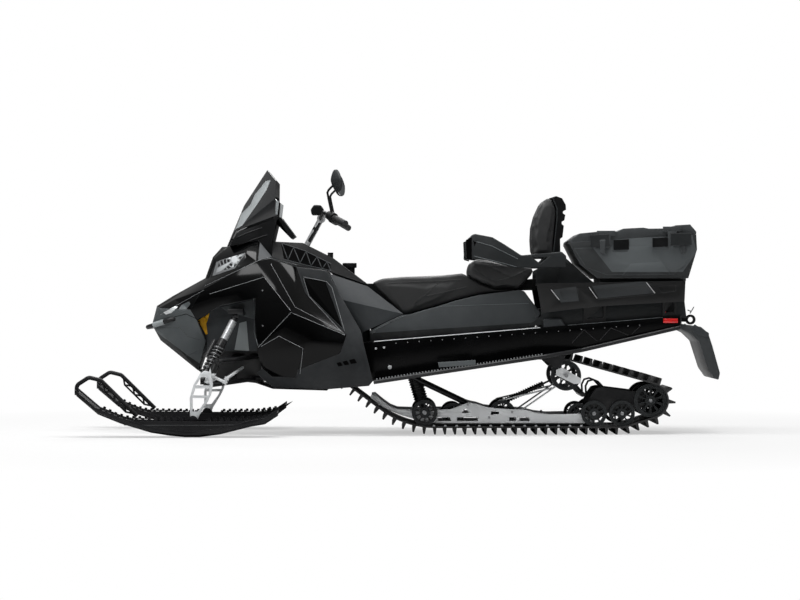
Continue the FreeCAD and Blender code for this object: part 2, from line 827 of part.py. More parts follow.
def mirrored_hull(points, faces):
    wound = turned(faces, points)
    polygons = [[points[name] for name in face] for face in wound]
    polygons += [[mirror_point(points[name]) for name in face] for face in wound]
    for start, end in border_edges(wound):
        first, last = points[start], points[end]
        corners = [first, last]
        if last.y > 0:
            corners.append(mirror_point(last))
        if first.y > 0:
            corners.append(mirror_point(first))
        if len(corners) > 2:
            polygons.append(corners)
    return solid_of(polygons)


def cowl_points(inset=0.0, inset_names=()):
    points = {}
    for name, (along, out, up) in cowl_shares.items():
        depth = inset if name in inset_names else 0.0
        x = cowl_rear_x + along * cowl_length
        y = out * cowl_half_width - depth
        points[name] = Vector(x, y, cowl_base_z + up * cowl_height)
    return points


def save(name, shape):
    for solid in shape.Solids:
        if not solid.isValid() or solid.Volume <= 0:
            print("check the solid in", name)
    shape.exportStep("parts/" + name + ".step")


def tunnel_top(x):
    slope = (tunnel_rear_top_z - tunnel_front_top_z) / (tunnel_rear_x - tunnel_front_x)
    return tunnel_front_top_z + slope * (x - tunnel_front_x)


def board_line(x):
    slope = (board_rear_z - board_front_z) / (board_rear_x - board_front_x)
    return board_front_z + slope * (x - board_front_x)


def tail_line(x):
    slope = (tunnel_rear_low_z - board_rear_z) / (tunnel_rear_x - board_rear_x)
    return board_rear_z + slope * (x - board_rear_x)


def belly_stations():
    stations = []
    for along, out, up in belly_shares:
        x = cowl_rear_x + along * cowl_length
        stations.append((x, out * cowl_half_width, cowl_base_z + up * cowl_height))
    return stations


def belly_top(x):
    stations = belly_stations()
    for (front_x, _, front_z), (rear_x, _, rear_z) in zip(stations, stations[1:]):
        if rear_x <= x <= front_x:
            low = rear_z + (front_z - rear_z) * (x - rear_x) / (front_x - rear_x)
            return low + belly_thickness
    return stations[0][2] + belly_thickness


def track_circles():
    return [
        (drive_axle_x, drive_axle_z, drive_wheel_radius + running_clearance),
        (front_curve_x, belt_top_z + front_curve_radius, front_curve_radius),
        (last_bogie_x, bogie_axle_z, bogie_radius + running_clearance),
        (rear_axle_x, rear_axle_z, rear_wheel_radius + running_clearance),
        (carrier_axle_x, carrier_axle_z, carrier_wheel_radius + running_clearance),
    ]


def tangent_angle(first, second):
    # Direction of the outward normal of the belt between two of its circles.
    run_x = second[0] - first[0]
    run_z = second[1] - first[1]
    gap = math.hypot(run_x, run_z)
    along = (first[2] - second[2]) / gap
    out = math.sqrt(1 - along * along)
    return math.atan2((along * run_z + out * run_x) / gap, (along * run_x - out * run_z) / gap)


def track_loop():
    # Points of the belt's inner face with their outward normals, once round.
    circles = track_circles()
    angles = [tangent_angle(circles[k], circles[(k + 1) % len(circles)]) for k in range(len(circles))]
    loop = []
    for k, (x, z, radius) in enumerate(circles):
        start = angles[k - 1]
        turn = (start - angles[k]) % (2 * math.pi)
        count = max(2, math.ceil(math.degrees(turn) / arc_step_deg))
        for step in range(count + 1):
            angle = start - turn * step / count
            normal = (math.cos(angle), math.sin(angle))
            loop.append((x + radius * normal[0], z + radius * normal[1], normal))
    return loop


def loop_lengths(loop):
    lengths = [0.0]
    for k in range(len(loop)):
        following = loop[(k + 1) % len(loop)]
        lengths.append(lengths[-1] + math.hypot(following[0] - loop[k][0], following[1] - loop[k][1]))
    return lengths


def loop_place(loop, lengths, distance):
    distance = distance % lengths[-1]
    for k in range(len(loop)):
        if lengths[k] <= distance <= lengths[k + 1] and lengths[k + 1] > lengths[k]:
            share = (distance - lengths[k]) / (lengths[k + 1] - lengths[k])
            here, following = loop[k], loop[(k + 1) % len(loop)]
            x = here[0] + share * (following[0] - here[0])
            z = here[1] + share * (following[1] - here[1])
            normal_x = here[2][0] + share * (following[2][0] - here[2][0])
            normal_z = here[2][1] + share * (following[2][1] - here[2][1])
            size = math.hypot(normal_x, normal_z)
            return x, z, normal_x / size, normal_z / size
    return loop[0][0], loop[0][1], loop[0][2][0], loop[0][2][1]


def track():
    loop = track_loop()
    lengths = loop_lengths(loop)
    pitch = lengths[-1] / lug_count
    lug_steps = (
        (-lug_length / 2, belt_thickness),
        (-lug_tip_length / 2, belt_thickness + lug_height),
        (lug_tip_length / 2, belt_thickness + lug_height),
        (lug_length / 2, belt_thickness),
        (pitch / 2, belt_thickness),
    )
    outer = []
    for lug in range(lug_count):
        for offset, rise in lug_steps:
            x, z, normal_x, normal_z = loop_place(loop, lengths, lug * pitch + offset)
            if rise > belt_thickness:
                middle = loop_place(loop, lengths, lug * pitch)
                x = middle[0] + offset * middle[3]
                z = middle[1] - offset * middle[2]
                normal_x, normal_z = middle[2], middle[3]
            outer.append((x + rise * normal_x, z + rise * normal_z))
    inner = [(x, z) for x, z, _ in loop]
    wires = []
    for outline in (outer, inner):
        corners = [Vector(x, -track_width / 2, z) for x, z in outline]
        wires.append(Part.makePolygon(corners + corners[:1]))
    face = Part.makeFace(wires, "Part::FaceMakerBullseye")
    return face.extrude(Vector(0, track_width, 0))


def wheel(x, z, radius, middle_y):
    half = wheel_width / 2
    web = half * web_share
    rim = radius * rim_share
    bore = shaft_radius + bore_clearance
    profile = (
        (bore, -half), (hub_radius, -half), (hub_radius, -web), (rim, -web), (rim, -half),
        (radius, -half), (radius, half), (rim, half), (rim, web), (hub_radius, web),
        (hub_radius, half), (bore, half),
    )
    corners = [Vector(x + out, middle_y + across, z) for out, across in profile]
    face = Part.Face(Part.makePolygon(corners + corners[:1]))
    whole = face.revolve(Vector(x, middle_y, z), LEFTWARD, FULL_TURN)
    return whole.cut(compound(spoke_windows(x, z, rim, middle_y)))


def spoke_windows(x, z, rim, middle_y):
    # The openings in a wheel's web, a wedge between each two spokes.
    inner = hub_radius + spoke_margin
    outer = rim - spoke_margin
    windows = []
    for spoke in range(spoke_count):
        middle = 2 * math.pi * spoke / spoke_count
        spread = math.pi * (1 - spoke_share) / spoke_count
        outline = []
        for radius, turn in ((inner, -spread), (outer, -spread), (outer, spread), (inner, spread)):
            angle = middle + turn
            outline.append((x + radius * math.cos(angle), z + radius * math.sin(angle)))
        windows.append(prism(outline, middle_y - wheel_width / 2, middle_y + wheel_width / 2))
    return windows


def front_bogie_z():
    # The front wheel stands inside the belt's front curve.
    reach = front_curve_radius - bogie_radius - running_clearance
    offset = front_bogie_x - front_curve_x
    return belt_top_z + front_curve_radius - math.sqrt(reach * reach - offset * offset)


def outer_axles():
    return [
        (front_bogie_x, front_bogie_z(), bogie_radius),
        (near_bogie_x, bogie_axle_z, bogie_radius),
        (last_bogie_x, bogie_axle_z, bogie_radius),
        (rear_axle_x, rear_axle_z, rear_wheel_radius),
        (carrier_axle_x, carrier_axle_z, carrier_wheel_radius),
    ]


def inner_axles():
    return [
        (small_bogie_x, small_bogie_axle_z, small_bogie_radius),
        (mid_bogie_x, bogie_axle_z, bogie_radius),
        (inner_bogie_x, small_bogie_axle_z, small_bogie_radius),
    ]


def track_wheels():
    wheels = []
    for x, z, radius in outer_axles():
        wheels += [wheel(x, z, radius, side * outer_wheel_y) for side in SIDES]
    for x, z, radius in inner_axles():
        wheels += [wheel(x, z, radius, side * inner_wheel_y) for side in SIDES]
    wheels.append(wheel(rear_axle_x, rear_axle_z, rear_wheel_radius, 0.0))
    return compound(wheels)


def wheel_shafts():
    carrier_reach = tunnel_half - tunnel_wall - seat_gap
    shafts = []
    for x, z, _ in outer_axles():
        half = carrier_reach if x == carrier_axle_x else shaft_half
        shafts.append(cross_rod(x, z, shaft_radius, -half, half))
    reach = rail_face_y - seat_gap
    shafts += [cross_rod(x, z, shaft_radius, -reach, reach) for x, z, _ in inner_axles()]
    shafts.append(cross_rod(track_shock_pin_x, track_shock_pin_z, shaft_radius, -reach, reach))
    shafts.append(cross_rod(front_shock_pin_x, front_shock_pin_z, shaft_radius,
                            -carrier_reach, carrier_reach))
    return compound(shafts)


def drive_axle():
    reach = tunnel_half - tunnel_wall - seat_gap
    pieces = [cross_rod(drive_axle_x, drive_axle_z, drive_shaft_radius, -reach, reach)]
    for side in SIDES:
        low = side * sprocket_y - sprocket_width / 2
        high = side * sprocket_y + sprocket_width / 2
        pieces.append(cross_rod(drive_axle_x, drive_axle_z, drive_wheel_radius, low, high))
    return fused(pieces)


def slide_rails():
    rail = prism(placed(rail_shares, rail_rear_x, rail_length, rail_base_z, rail_height),
                 rail_face_y, rail_outer_y)
    bore = shaft_radius + bore_clearance
    for x, z, _ in outer_axles():
        rail = rail.cut(cross_rod(x, z, bore, rail_face_y - cut_overrun, rail_outer_y + cut_overrun))
    for window in rail_window_shares:
        outline = placed(window, rail_rear_x, rail_length, rail_base_z, rail_height)
        rail = rail.cut(prism(outline, rail_face_y - cut_overrun, rail_outer_y + cut_overrun))
    return both_sides(rail)


def rail_brackets():
    outline = placed(bracket_shares, bracket_rear_x, bracket_length, bracket_base_z, bracket_height)
    inner = rail_outer_y + seat_gap
    outer = inner + bracket_thickness
    plate = prism(outline, inner, outer)
    bore = shaft_radius + bore_clearance
    for x, z, _ in outer_axles():
        plate = plate.cut(cross_rod(x, z, bore, inner - cut_overrun, outer + cut_overrun))
    return both_sides(plate)


def slide_shoes():
    middle = rail_spacing / 2
    shoe = block(rail_rear_x, shoe_front_x, middle - shoe_width / 2, middle + shoe_width / 2,
                 rail_base_z - shoe_height, rail_base_z - seat_gap)
    return both_sides(shoe)


def torque_arm(top_x, top_z, foot_x_place, foot_z_place, reach):
    foot_reach = rail_face_y - seat_gap
    pieces = [cross_rod(top_x, top_z, torque_tube_radius, -reach, reach),
              cross_rod(foot_x_place, foot_z_place, torque_tube_radius, -foot_reach, foot_reach)]
    for side in SIDES:
        start = Vector(top_x, side * torque_tube_y, top_z)
        end = Vector(foot_x_place, side * torque_tube_y, foot_z_place)
        pieces.append(rod(start, end, torque_tube_radius))
    return fused(pieces)


def torque_arms():
    tunnel_reach = tunnel_half - tunnel_wall - seat_gap
    front = torque_arm(arm_pivot_front_x, arm_pivot_front_z, arm_foot_front_x, arm_foot_front_z,
                       tunnel_reach)
    wheel_face = outer_wheel_y - wheel_width / 2
    rear = torque_arm(carrier_axle_x, carrier_axle_z, arm_foot_rear_x, arm_foot_rear_z,
                      wheel_face - shaft_end_length)
    bore = cross_rod(carrier_axle_x, carrier_axle_z, shaft_radius + bore_clearance,
                     -tunnel_reach, tunnel_reach)
    return compound([front, rear.cut(bore)])


def spring_damper(start, end, start_trim, end_trim, radius):
    # A damper with its spring between two cross tubes: the rod over its whole length and the
    # coil over the middle part.
    direction = (end - start).normalize()
    first = start + direction * (start_trim + seat_gap)
    last = end - direction * (end_trim + seat_gap)
    margin = direction * ((last - first).Length * (1 - shock_spring_share) / 2)
    coil = coil_spring(first + margin, last - margin, radius - coil_wire_radius, radius)
    return fused([rod(first, last, radius / 3), coil])


def track_shocks():
    rear = spring_damper(Vector(track_shock_pin_x, 0, track_shock_pin_z),
                         Vector(carrier_axle_x, 0, carrier_axle_z),
                         shaft_radius, torque_tube_radius, track_shock_radius)
    front = spring_damper(Vector(front_shock_pin_x, 0, front_shock_pin_z),
                          Vector(front_bogie_x, 0, front_bogie_z()),
                          shaft_radius, shaft_radius, front_shock_radius)
    return compound([rear, front])


def tunnel():
    outline = [
        (tunnel_front_x, tunnel_front_low_z), (board_front_x, board_front_z),
        (board_rear_x, board_rear_z), (tunnel_rear_x, tunnel_rear_low_z),
        (tunnel_rear_x, tunnel_rear_top_z), (tunnel_front_x, tunnel_front_top_z),
    ]
    whole = prism(outline, -tunnel_half, tunnel_half)
    front = tunnel_front_x + cut_overrun
    rear = tunnel_rear_x - cut_overrun
    hollow = [
        (front, tunnel_top(front) - tunnel_wall), (rear, tunnel_top(rear) - tunnel_wall),
        (rear, board_front_z - belt_top_z), (front, board_front_z - belt_top_z),
    ]
    inner = tunnel_half - tunnel_wall
    return whole.cut(prism(hollow, -inner, inner))


def running_boards():
    corners = {
        "front_inner": (board_front_x, tunnel_half + seat_gap),
        "front_outer": (board_front_x, board_half),
        "taper": (board_taper_x, board_half),
        "rear_outer": (board_rear_x, tunnel_half + board_tube_radius * 2),
        "rear_inner": (board_rear_x, tunnel_half + seat_gap),
    }
    points = {name: Vector(x, y, board_line(x)) for name, (x, y) in corners.items()}
    plate = skin(points, [tuple(corners)], Vector(0, 0, -board_thickness))
    tube_y = tunnel_half + board_tube_radius + seat_gap
    path = [
        Vector(board_front_x, board_half, board_line(board_front_x)),
        Vector(board_taper_x, board_half, board_line(board_taper_x)),
        Vector(board_rear_x, tube_y, board_line(board_rear_x)),
        Vector(tunnel_rear_x, tube_y, tail_line(tunnel_rear_x)),
    ]
    tube = bent_tube(path, board_tube_radius, board_bend_radius)
    return both_sides(fused([plate, tube]))


def side_panels():
    return both_sides(skin(cowl_points(), side_panel_faces, Vector(0, -panel_thickness, 0)))


def footwells():
    return both_sides(skin(cowl_points(), footwell_faces, Vector(0, -panel_thickness, 0)))


def side_vents():
    return both_sides(skin(cowl_points(), vent_faces, Vector(0, -panel_thickness, 0)))


def hood_points():
    return cowl_points(panel_thickness + hood_gap, hood_edge)


def hood_side(faces):
    return skin(hood_points(), faces, Vector(-hood_thickness, 0, -hood_thickness))


def hood():
    left = hood_side(hood_faces)
    return fused([left, mirrored(left)])


def nose_cowl():
    body = mirrored_hull(cowl_points(), nose_faces)
    cover = hood()
    body = body.cut(cover).cut(moved(cover, z=-hood_gap))
    return max(body.cut(bumper_tube(bumper_radius + seat_gap)).Solids, key=lambda solid: solid.Volume)


def bumper_tube(radius):
    points = cowl_points()
    corner = points["bumper_corner"]
    shoulder = points["nose_shoulder"]
    front_x = corner.x + 2 * bumper_radius
    side_y = (corner.y + shoulder.y) / 2
    side_z = (corner.z + shoulder.z) / 2
    path = [
        Vector(shoulder.x + bumper_bend_radius, side_y - 2 * bumper_radius, side_z),
        Vector((corner.x + shoulder.x) / 2, side_y + bumper_radius, side_z - bumper_radius),
        Vector(front_x, corner.y, corner.z - bumper_radius),
    ]
    path += [mirror_point(point) for point in reversed(path)]
    return bent_tube(path, radius, bumper_bend_radius)


def front_bumper():
    return bumper_tube(bumper_radius)


def headlights():
    return both_sides(hood_side(lens_faces))


def console():
    points = cowl_points(panel_thickness + hood_gap, shelf_edge)
    cover = hood()
    body = mirrored_hull(points, console_faces).cut(cover).cut(moved(cover, x=-hood_gap))
    body = body.cut(post_rod(post_radius + post_bore_clearance, post_depth + post_bore_clearance))
    base = points["cap_base"]
    neck = Part.makeCylinder(cap_neck_radius + seat_gap, cap_neck_length + cap_height,
                             base - UP * (cap_neck_length + seat_gap))
    rim = Part.makeCylinder(cap_radius + seat_gap, cap_height, base - UP * seat_gap)
    key = Part.makeCylinder(key_radius, 2 * key_height, points["key_base"] - UP * key_height)
    body = max(body.cut(neck).cut(rim).Solids, key=lambda solid: solid.Volume)
    return fused([body, key])


def fuel_cap():
    base = cowl_points()["cap_base"]
    neck = Part.makeCylinder(cap_neck_radius, cap_neck_length + cap_height / 2,
                             base - UP * cap_neck_length)
    cap = Part.makeCylinder(cap_radius, cap_height, base)
    return fused([neck, cap])


def fuel_tank():
    points = cowl_points()
    front = points["tank_low"]
    rear = points["tank_low_rear"]
    ends = (rear.x, front.x)
    foot = [(x, tunnel_top(x) + seat_gap) for x in ends]
    foot += [(x, rear.z + cut_overrun) for x in reversed(ends)]
    half = rear.y / 2
    tank = fused([mirrored_hull(points, tank_faces), prism(foot, -half, half)])
    base = seat_base()
    tank = tank.cut(moved(driver_seat(), x=seat_gap)).cut(base).cut(moved(base, x=seat_gap))
    return max(tank.Solids, key=lambda solid: solid.Volume)


def dash_pod():
    points = cowl_points()
    base = points["screen_base"]
    rear = points["dash_base"]
    low = points["console_front_low"]
    screen = points["screen_low_rear"]
    corner = points["screen_corner"]
    half = rear.y - hood_gap
    rear_x = low.x + seat_gap
    outline = [
        (base.x - hood_thickness, base.z + hood_gap), (rear.x, rear.z + hood_gap),
        (rear_x, low.z), (rear_x, rear.z + hood_gap),
        (screen.x - panel_thickness, screen.z - hood_thickness),
        (corner.x - panel_thickness, corner.z - hood_thickness),
    ]
    gauge = [(points[name].x, points[name].z) for name in ("gauge_top", "gauge_end", "gauge_under")]
    gauge.append((rear_x, points["gauge_top"].z - hood_thickness))
    cover = hood()
    pod = prism(outline, -half, half).cut(cover).cut(moved(cover, z=hood_gap))
    gauge_half = points["gauge_top"].y
    pod = max(pod.Solids, key=lambda solid: solid.Volume)
    return fused([pod, prism(gauge, -gauge_half, gauge_half)])


def windshield():
    points = cowl_points()
    left = [[points[name] for name in face] for face in turned(screen_faces, points)]
    polygons = left + [[mirror_point(point) for point in face] for face in left]
    for low, high in zip(screen_middle, screen_middle[1:]):
        a, b = points[low], points[high]
        polygons.append([a, b, mirror_point(b)])
        polygons.append([a, mirror_point(b), mirror_point(a)])
    cover = hood()
    sheet = thickened(polygons, screen_thickness).cut(cover).cut(moved(cover, z=seat_gap))
    return max(sheet.Solids, key=lambda solid: solid.Volume)


def key_of(point):
    return (round(point.x, 3), round(point.y, 3), round(point.z, 3))


def thickened(polygons, thickness):
    # A faceted sheet given a thickness inward, along each corner's mean normal.
    wound = turned([tuple(key_of(point) for point in polygon) for polygon in polygons], None)
    normals = {}
    for face in wound:
        corners = [Vector(*key) for key in face]
        normal = (corners[1] - corners[0]).cross(corners[2] - corners[0]).normalize()
        for key in face:
            normals.setdefault(key, []).append(normal)
    total = sum((n for group in normals.values() for n in group), Vector(0, 0, 0))
    sign = 1 if total.dot(FORWARD + UP) > 0 else -1
    inner = {}
    for key, group in normals.items():
        mean = sum(group, Vector(0, 0, 0)).normalize()
        inner[key] = Vector(*key) - mean * (sign * thickness)
    faces = [[Vector(*key) for key in face] for face in wound]
    faces += [[inner[key] for key in face] for face in wound]
    for start, end in border_edges(wound):
        faces.append([Vector(*start), Vector(*end), inner[end]])
        faces.append([Vector(*start), inner[end], inner[start]])
    return solid_of(faces)


def belly_pan():
    points = {}
    faces = []
    stations = belly_stations()
    for k, (x, half, z) in enumerate(stations):
        points["left", k] = Vector(x, half, z)
        points["right", k] = Vector(x, -half, z)
    for k in range(len(stations) - 1):
        faces.append((("left", k), ("left", k + 1), ("right", k + 1), ("right", k)))
    return skin(points, faces, Vector(0, 0, belly_thickness))


def frame_front_x():
    return cowl_points()["nose_rear"].x - seat_gap


def front_frame():
    front = frame_front_x()
    stations = [x for x, _, _ in belly_stations() if frame_rear_x < x < front]
    floor = [frame_rear_x] + sorted(stations) + [front]
    outline = [(x, belly_top(x) + seat_gap) for x in floor]
    outline += [(front, frame_top_z), (frame_rear_x, frame_top_z)]
    body = prism(outline, -frame_half, frame_half)
    return fused([body, frame_tower(0.0)])


def frame_tower(clearance):
    return block(tower_rear_x - clearance, tower_front_x + clearance, -tower_half, tower_half,
                 frame_top_z - clearance, frame_top_z + tower_height + clearance)


def inner_fenders():
    # The plates that close the nose behind the front shocks, cut round the shock tower.
    points = cowl_points()
    front = points["nose_rear"].x - fender_front_gap
    upper_front = points["nose_cheek"].x - fender_front_gap
    outline = [
        (fender_rear_x, fender_low_z), (front, fender_low_z), (front, points["nose_cheek"].z),
        (upper_front, points["nose_shoulder"].z), (upper_front, fender_top_z),
        (fender_rear_x, fender_top_z),
    ]
    plate = prism(outline, fender_half - fender_thickness, fender_half)
    return both_sides(plate.cut(frame_tower(seat_gap)))


def engine():
    return block(tunnel_front_x + seat_gap, frame_rear_x - seat_gap, -engine_half, engine_half,
                 engine_base_z, engine_top_z)


def rake_vector():
    angle = math.radians(rake_deg)
    return Vector(-math.sin(angle), 0, math.cos(angle))


def rearward_vector():
    angle = math.radians(rake_deg)
    return Vector(-math.cos(angle), 0, -math.sin(angle))


def kingpin_point(rise):
    base = Vector(foot_x + trail, ski_stance / 2 - kingpin_inset, foot_z)
    return base + rake_vector() * rise


def kingpin_rod(low_rise, high_rise, radius):
    return rod(kingpin_point(low_rise), kingpin_point(high_rise), radius)


def tie_ball():
    return kingpin_point(steering_arm_rise) + rearward_vector() * steering_arm_reach


def spindle():
    middle = ski_stance / 2
    leg = prism(placed(leg_shares, leg_rear_x, leg_length, leg_base_z, leg_height),
                middle - leg_thickness / 2, middle + leg_thickness / 2)
    for window in leg_window_shares:
        outline = placed(window, leg_rear_x, leg_length, leg_base_z, leg_height)
        leg = leg.cut(prism(outline, middle - leg_thickness, middle + leg_thickness))
    reach = ring_height / 2 + ring_gap
    tube = kingpin_rod(lower_joint_rise + reach, upper_joint_rise - reach, kingpin_tube_radius)
    pin = kingpin_rod(lower_joint_rise - reach, upper_joint_rise + reach, kingpin_radius)
    foot = cross_rod(foot_x, foot_z, foot_radius, middle - foot_width / 2, middle + foot_width / 2)
    web_centre = (kingpin_point(lower_joint_rise + reach) + kingpin_point(upper_joint_rise - reach)) / 2
    web = rod(web_centre, web_centre + Vector(0, kingpin_inset, 0),
              kingpin_tube_radius * steering_arm_share)
    ball = tie_ball()
    arm_root = kingpin_point(steering_arm_rise)
    arm = rod(arm_root, ball, steering_arm_radius * steering_arm_share)
    eye_reach = rake_vector() * steering_arm_radius
    eye = rod(ball - eye_reach, ball + eye_reach, tie_ball_radius)
    body = joined([leg, tube, foot, web, arm, eye])
    for rise in (lower_joint_rise, upper_joint_rise):
        body = body.cut(ring_space(rise))
    body = body.cut(rod(ball - eye_reach * 2, ball + eye_reach * 2, tie_pin_radius + pin_clearance))
    bolt_hole = cross_rod(foot_x, foot_z, bolt_radius + pin_clearance,
                          middle - foot_width, middle + foot_width)
    return fused([body.cut(bolt_hole), pin])


def ring_space(rise):
    # The room that a control arm's ring needs round the kingpin.
    reach = ring_height / 2 + ring_gap
    return kingpin_rod(rise - reach, rise + reach, ring_radius + ring_gap)


def control_arm(rise, front_x, rear_x, inner_z):
    ring = kingpin_rod(rise - ring_height / 2, rise + ring_height / 2, ring_radius)
    inner_y = frame_half + arm_tube_radius + seat_gap
    pieces = [ring]
    for x in (front_x, rear_x):
        inner = Vector(x, inner_y, inner_z)
        half_boss = Vector(arm_boss_length / 2, 0, 0)
        pieces.append(rod(inner, kingpin_point(rise), arm_tube_radius))
        pieces.append(rod(inner - half_boss, inner + half_boss, arm_tube_radius))
    return pieces


def arm_point(front, share):
    x = lower_arm_front_x if front else lower_arm_rear_x
    inner = Vector(x, frame_half + arm_tube_radius + seat_gap, lower_arm_inner_z)
    outer = kingpin_point(lower_joint_rise)
    return inner + (outer - inner) * share


def shock_seat():
    # The cross plate of the lower arm that carries the shock's eye.
    inner_y = frame_half + arm_tube_radius + seat_gap
    outer_y = kingpin_point(lower_joint_rise).y
    share = (outer_y - shock_seat_inset - inner_y) / (outer_y - inner_y)
    front = arm_point(True, share)
    rear = arm_point(False, share)
    return front, rear


def lower_arm():
    pieces = control_arm(lower_joint_rise, lower_arm_front_x, lower_arm_rear_x, lower_arm_inner_z)
    front, rear = shock_seat()
    pieces.append(block(rear.x, shock_foot_x + shock_eye_width / 2, front.y - shock_seat_width / 2,
                        front.y + shock_seat_width / 2, front.z, front.z + arm_tube_radius))
    return pieces


def bored(pieces, rise):
    bore = kingpin_rod(rise - ring_height, rise + ring_height, kingpin_radius + pin_clearance)
    face = ring_height / 2
    reach = face + 2 * arm_tube_radius
    room_radius = kingpin_tube_radius + joint_room
    above = kingpin_rod(rise + face, rise + reach, room_radius)
    below = kingpin_rod(rise - reach, rise - face, room_radius)
    return fused(pieces).cut(bore).cut(above).cut(below)


def control_arms():
    lower = bored(lower_arm(), lower_joint_rise)
    upper = bored(control_arm(upper_joint_rise, upper_arm_front_x, upper_arm_rear_x,
                              upper_arm_inner_z), upper_joint_rise)
    return compound([lower, upper, mirrored(lower), mirrored(upper)])


def front_shock():
    front, _ = shock_seat()
    low = Vector(shock_foot_x, front.y, front.z + arm_tube_radius + seat_gap + shock_eye_radius)
    high = Vector(shock_head_x, shock_head_y, frame_top_z - seat_gap - shock_eye_radius)
    half_eye = Vector(shock_eye_width / 2, 0, 0)
    direction = (high - low).normalize()
    span = (high - low).Length
    seat = low + direction * (2 * shock_eye_radius)
    split = low + direction * (span * shock_spring_share)
    collar_end = split + direction * (span * shock_collar_share)
    pieces = [
        rod(low - half_eye, low + half_eye, shock_eye_radius),
        rod(high - half_eye, high + half_eye, shock_eye_radius),
        rod(low, high, shock_rod_radius),
        rod(seat, seat + direction * coil_wire_radius, shock_spring_radius),
        rod(split, collar_end, shock_collar_radius),
        rod(collar_end, high - direction * shock_eye_radius, shock_body_radius),
    ]
    pieces.append(coil_spring(seat, split, shock_core_radius, shock_spring_radius))
    offset = FORWARD * (shock_spring_radius + reservoir_radius)
    link = (split + collar_end) / 2
    bottle = low + direction * (span * shock_bottle_share) + offset
    pieces.append(rod(bottle, collar_end + offset, reservoir_radius))
    pieces.append(rod(link, link + offset, reservoir_radius / 2))
    return fused(pieces)


def coil_spring(start, end, core_radius, outer_radius):
    # A tube with the turns of its coil spring as ridges round it.
    direction = (end - start).normalize()
    across = direction.cross(LEFTWARD).normalize()
    length = (end - start).Length
    turns = max(2, int(length / coil_pitch))
    radii = (core_radius, outer_radius, outer_radius, core_radius)
    profile = [start, start + across * core_radius]
    for turn in range(turns):
        for share, radius in zip(coil_shares, radii):
            place = start + direction * (length * (turn + share) / turns)
            profile.append(place + across * radius)
    profile += [end + across * core_radius, end]
    face = Part.Face(Part.makePolygon(profile + profile[:1]))
    return face.revolve(start, direction, FULL_TURN)


def tie_rod():
    ball = tie_ball()
    inner = Vector(tie_inner_x, tie_inner_y, tie_inner_z)
    above = ball + rake_vector() * (steering_arm_radius + ring_gap)
    start = above + rake_vector() * tie_rod_radius
    pieces = [
        rod(ball - rake_vector() * steering_arm_radius, above, tie_pin_radius),
        rod(above, above + rake_vector() * (2 * tie_rod_radius), tie_ball_radius),
        rod(start, inner, tie_rod_radius),
    ]
    return fused(pieces)


def ski():
    middle = ski_stance / 2
    outline = placed(keel_shares, ski_rear_x, ski_length, 0.0, ski_rise)
    deck_low = [(x, z + ski_keel_depth) for x, z in outline]
    deck_top = [(x, z + ski_deck_thickness) for x, z in deck_low]
    half = ski_width / 2
    deck = prism(deck_low + deck_top[::-1], middle - half, middle + half)
    keel_top = [(x, z + ski_deck_thickness / 2) for x, z in deck_low]
    keel = prism(outline + keel_top[::-1], middle - ski_keel_width / 2, middle + ski_keel_width / 2)
    edge_top = [(x, z + ski_edge_height) for x, z in deck_low]
    edges = [
        prism(deck_low + edge_top[::-1], middle - half, middle - half + ski_edge_width),
        prism(deck_low + edge_top[::-1], middle + half - ski_edge_width, middle + half),
    ]
    pieces = [deck, keel] + edges
    ear_inner = foot_width / 2 + ski_ear_gap
    ear_outer = ear_inner + ski_ear_thickness
    floor = ski_keel_depth + ski_deck_thickness / 2
    for side in SIDES:
        low, high = sorted((middle + side * ear_inner, middle + side * ear_outer))
        pieces.append(cross_rod(foot_x, foot_z, ski_ear_radius, low, high))
        pieces.append(block(foot_x - ski_ear_length / 2, foot_x + ski_ear_length / 2, low, high,
                            floor, foot_z - ski_ear_radius / 2))
    pieces.append(cross_rod(foot_x, foot_z, bolt_radius, middle - ear_outer, middle + ear_outer))
    return fused(pieces)


def ski_loop():
    middle = ski_stance / 2
    path = [Vector(x, middle, z) for x, z in placed(loop_shares, ski_rear_x, ski_length, 0.0, ski_rise)]
    tube = bent_tube(path, loop_tube_radius, loop_bend_radius)
    loop = fused([tube] + loop_lattice(path[-2], path[-1]))
    return loop.cut(ski()).cut(moved(ski(), z=seat_gap))


def loop_lattice(high, low):
    # The braced chord under the loop's long rear run.
    run = low - high
    below = Vector(-run.z, 0, run.x).normalize() * lattice_depth
    ends = lattice_chord_shares[::len(lattice_chord_shares) - 1]
    chord = [high + run * share + (ORIGIN if share in ends else below)
             for share in lattice_chord_shares]
    zigzag = [high + run * share + (ORIGIN if turn % 2 else below)
              for turn, share in enumerate(lattice_brace_shares)]
    bars = []
    for line in (chord, zigzag):
        bars += [rod(start, end, lattice_radius) for start, end in zip(line, line[1:])]
        bars += [Part.makeSphere(lattice_radius, point) for point in line[1:-1]]
    return bars


def base_line(shares):
    return placed(shares, base_rear_x, base_length, base_low_z, base_height)


def seat_line(shares):
    return placed(shares, seat_rear_x, seat_length, seat_low_z, seat_height)


def passenger_line(shares):
    low_z = seat_line(seat_step_shares)[0][1] + seat_gap
    return placed(shares, passenger_rear_x, passenger_length, low_z, passenger_height)


def driver_seat():
    under = [(x, z + seat_gap) for x, z in base_line(base_top_shares)]
    rest = [(x, z - seat_gap) for x, z in passenger_line(passenger_front_shares)]
    outline = seat_line(seat_shares) + rest + seat_line(seat_step_shares)[1:] + under
    return prism(outline, -seat_half, seat_half)


def seat_base():
    outline = base_line(base_low_shares[::-1]) + base_line(base_top_shares)
    outline += base_line(base_nose_shares)
    rear_x = outline[0][0]
    front_x = outline[-1][0]
    outline.append((front_x, tunnel_top(front_x) + seat_gap))
    outline.append((rear_x, tunnel_top(rear_x) + seat_gap))
    return prism(outline, -base_half, base_half)


def passenger_seat():
    outline = passenger_line(passenger_shares + passenger_front_shares[::-1])
    return prism(outline, -passenger_half, passenger_half)


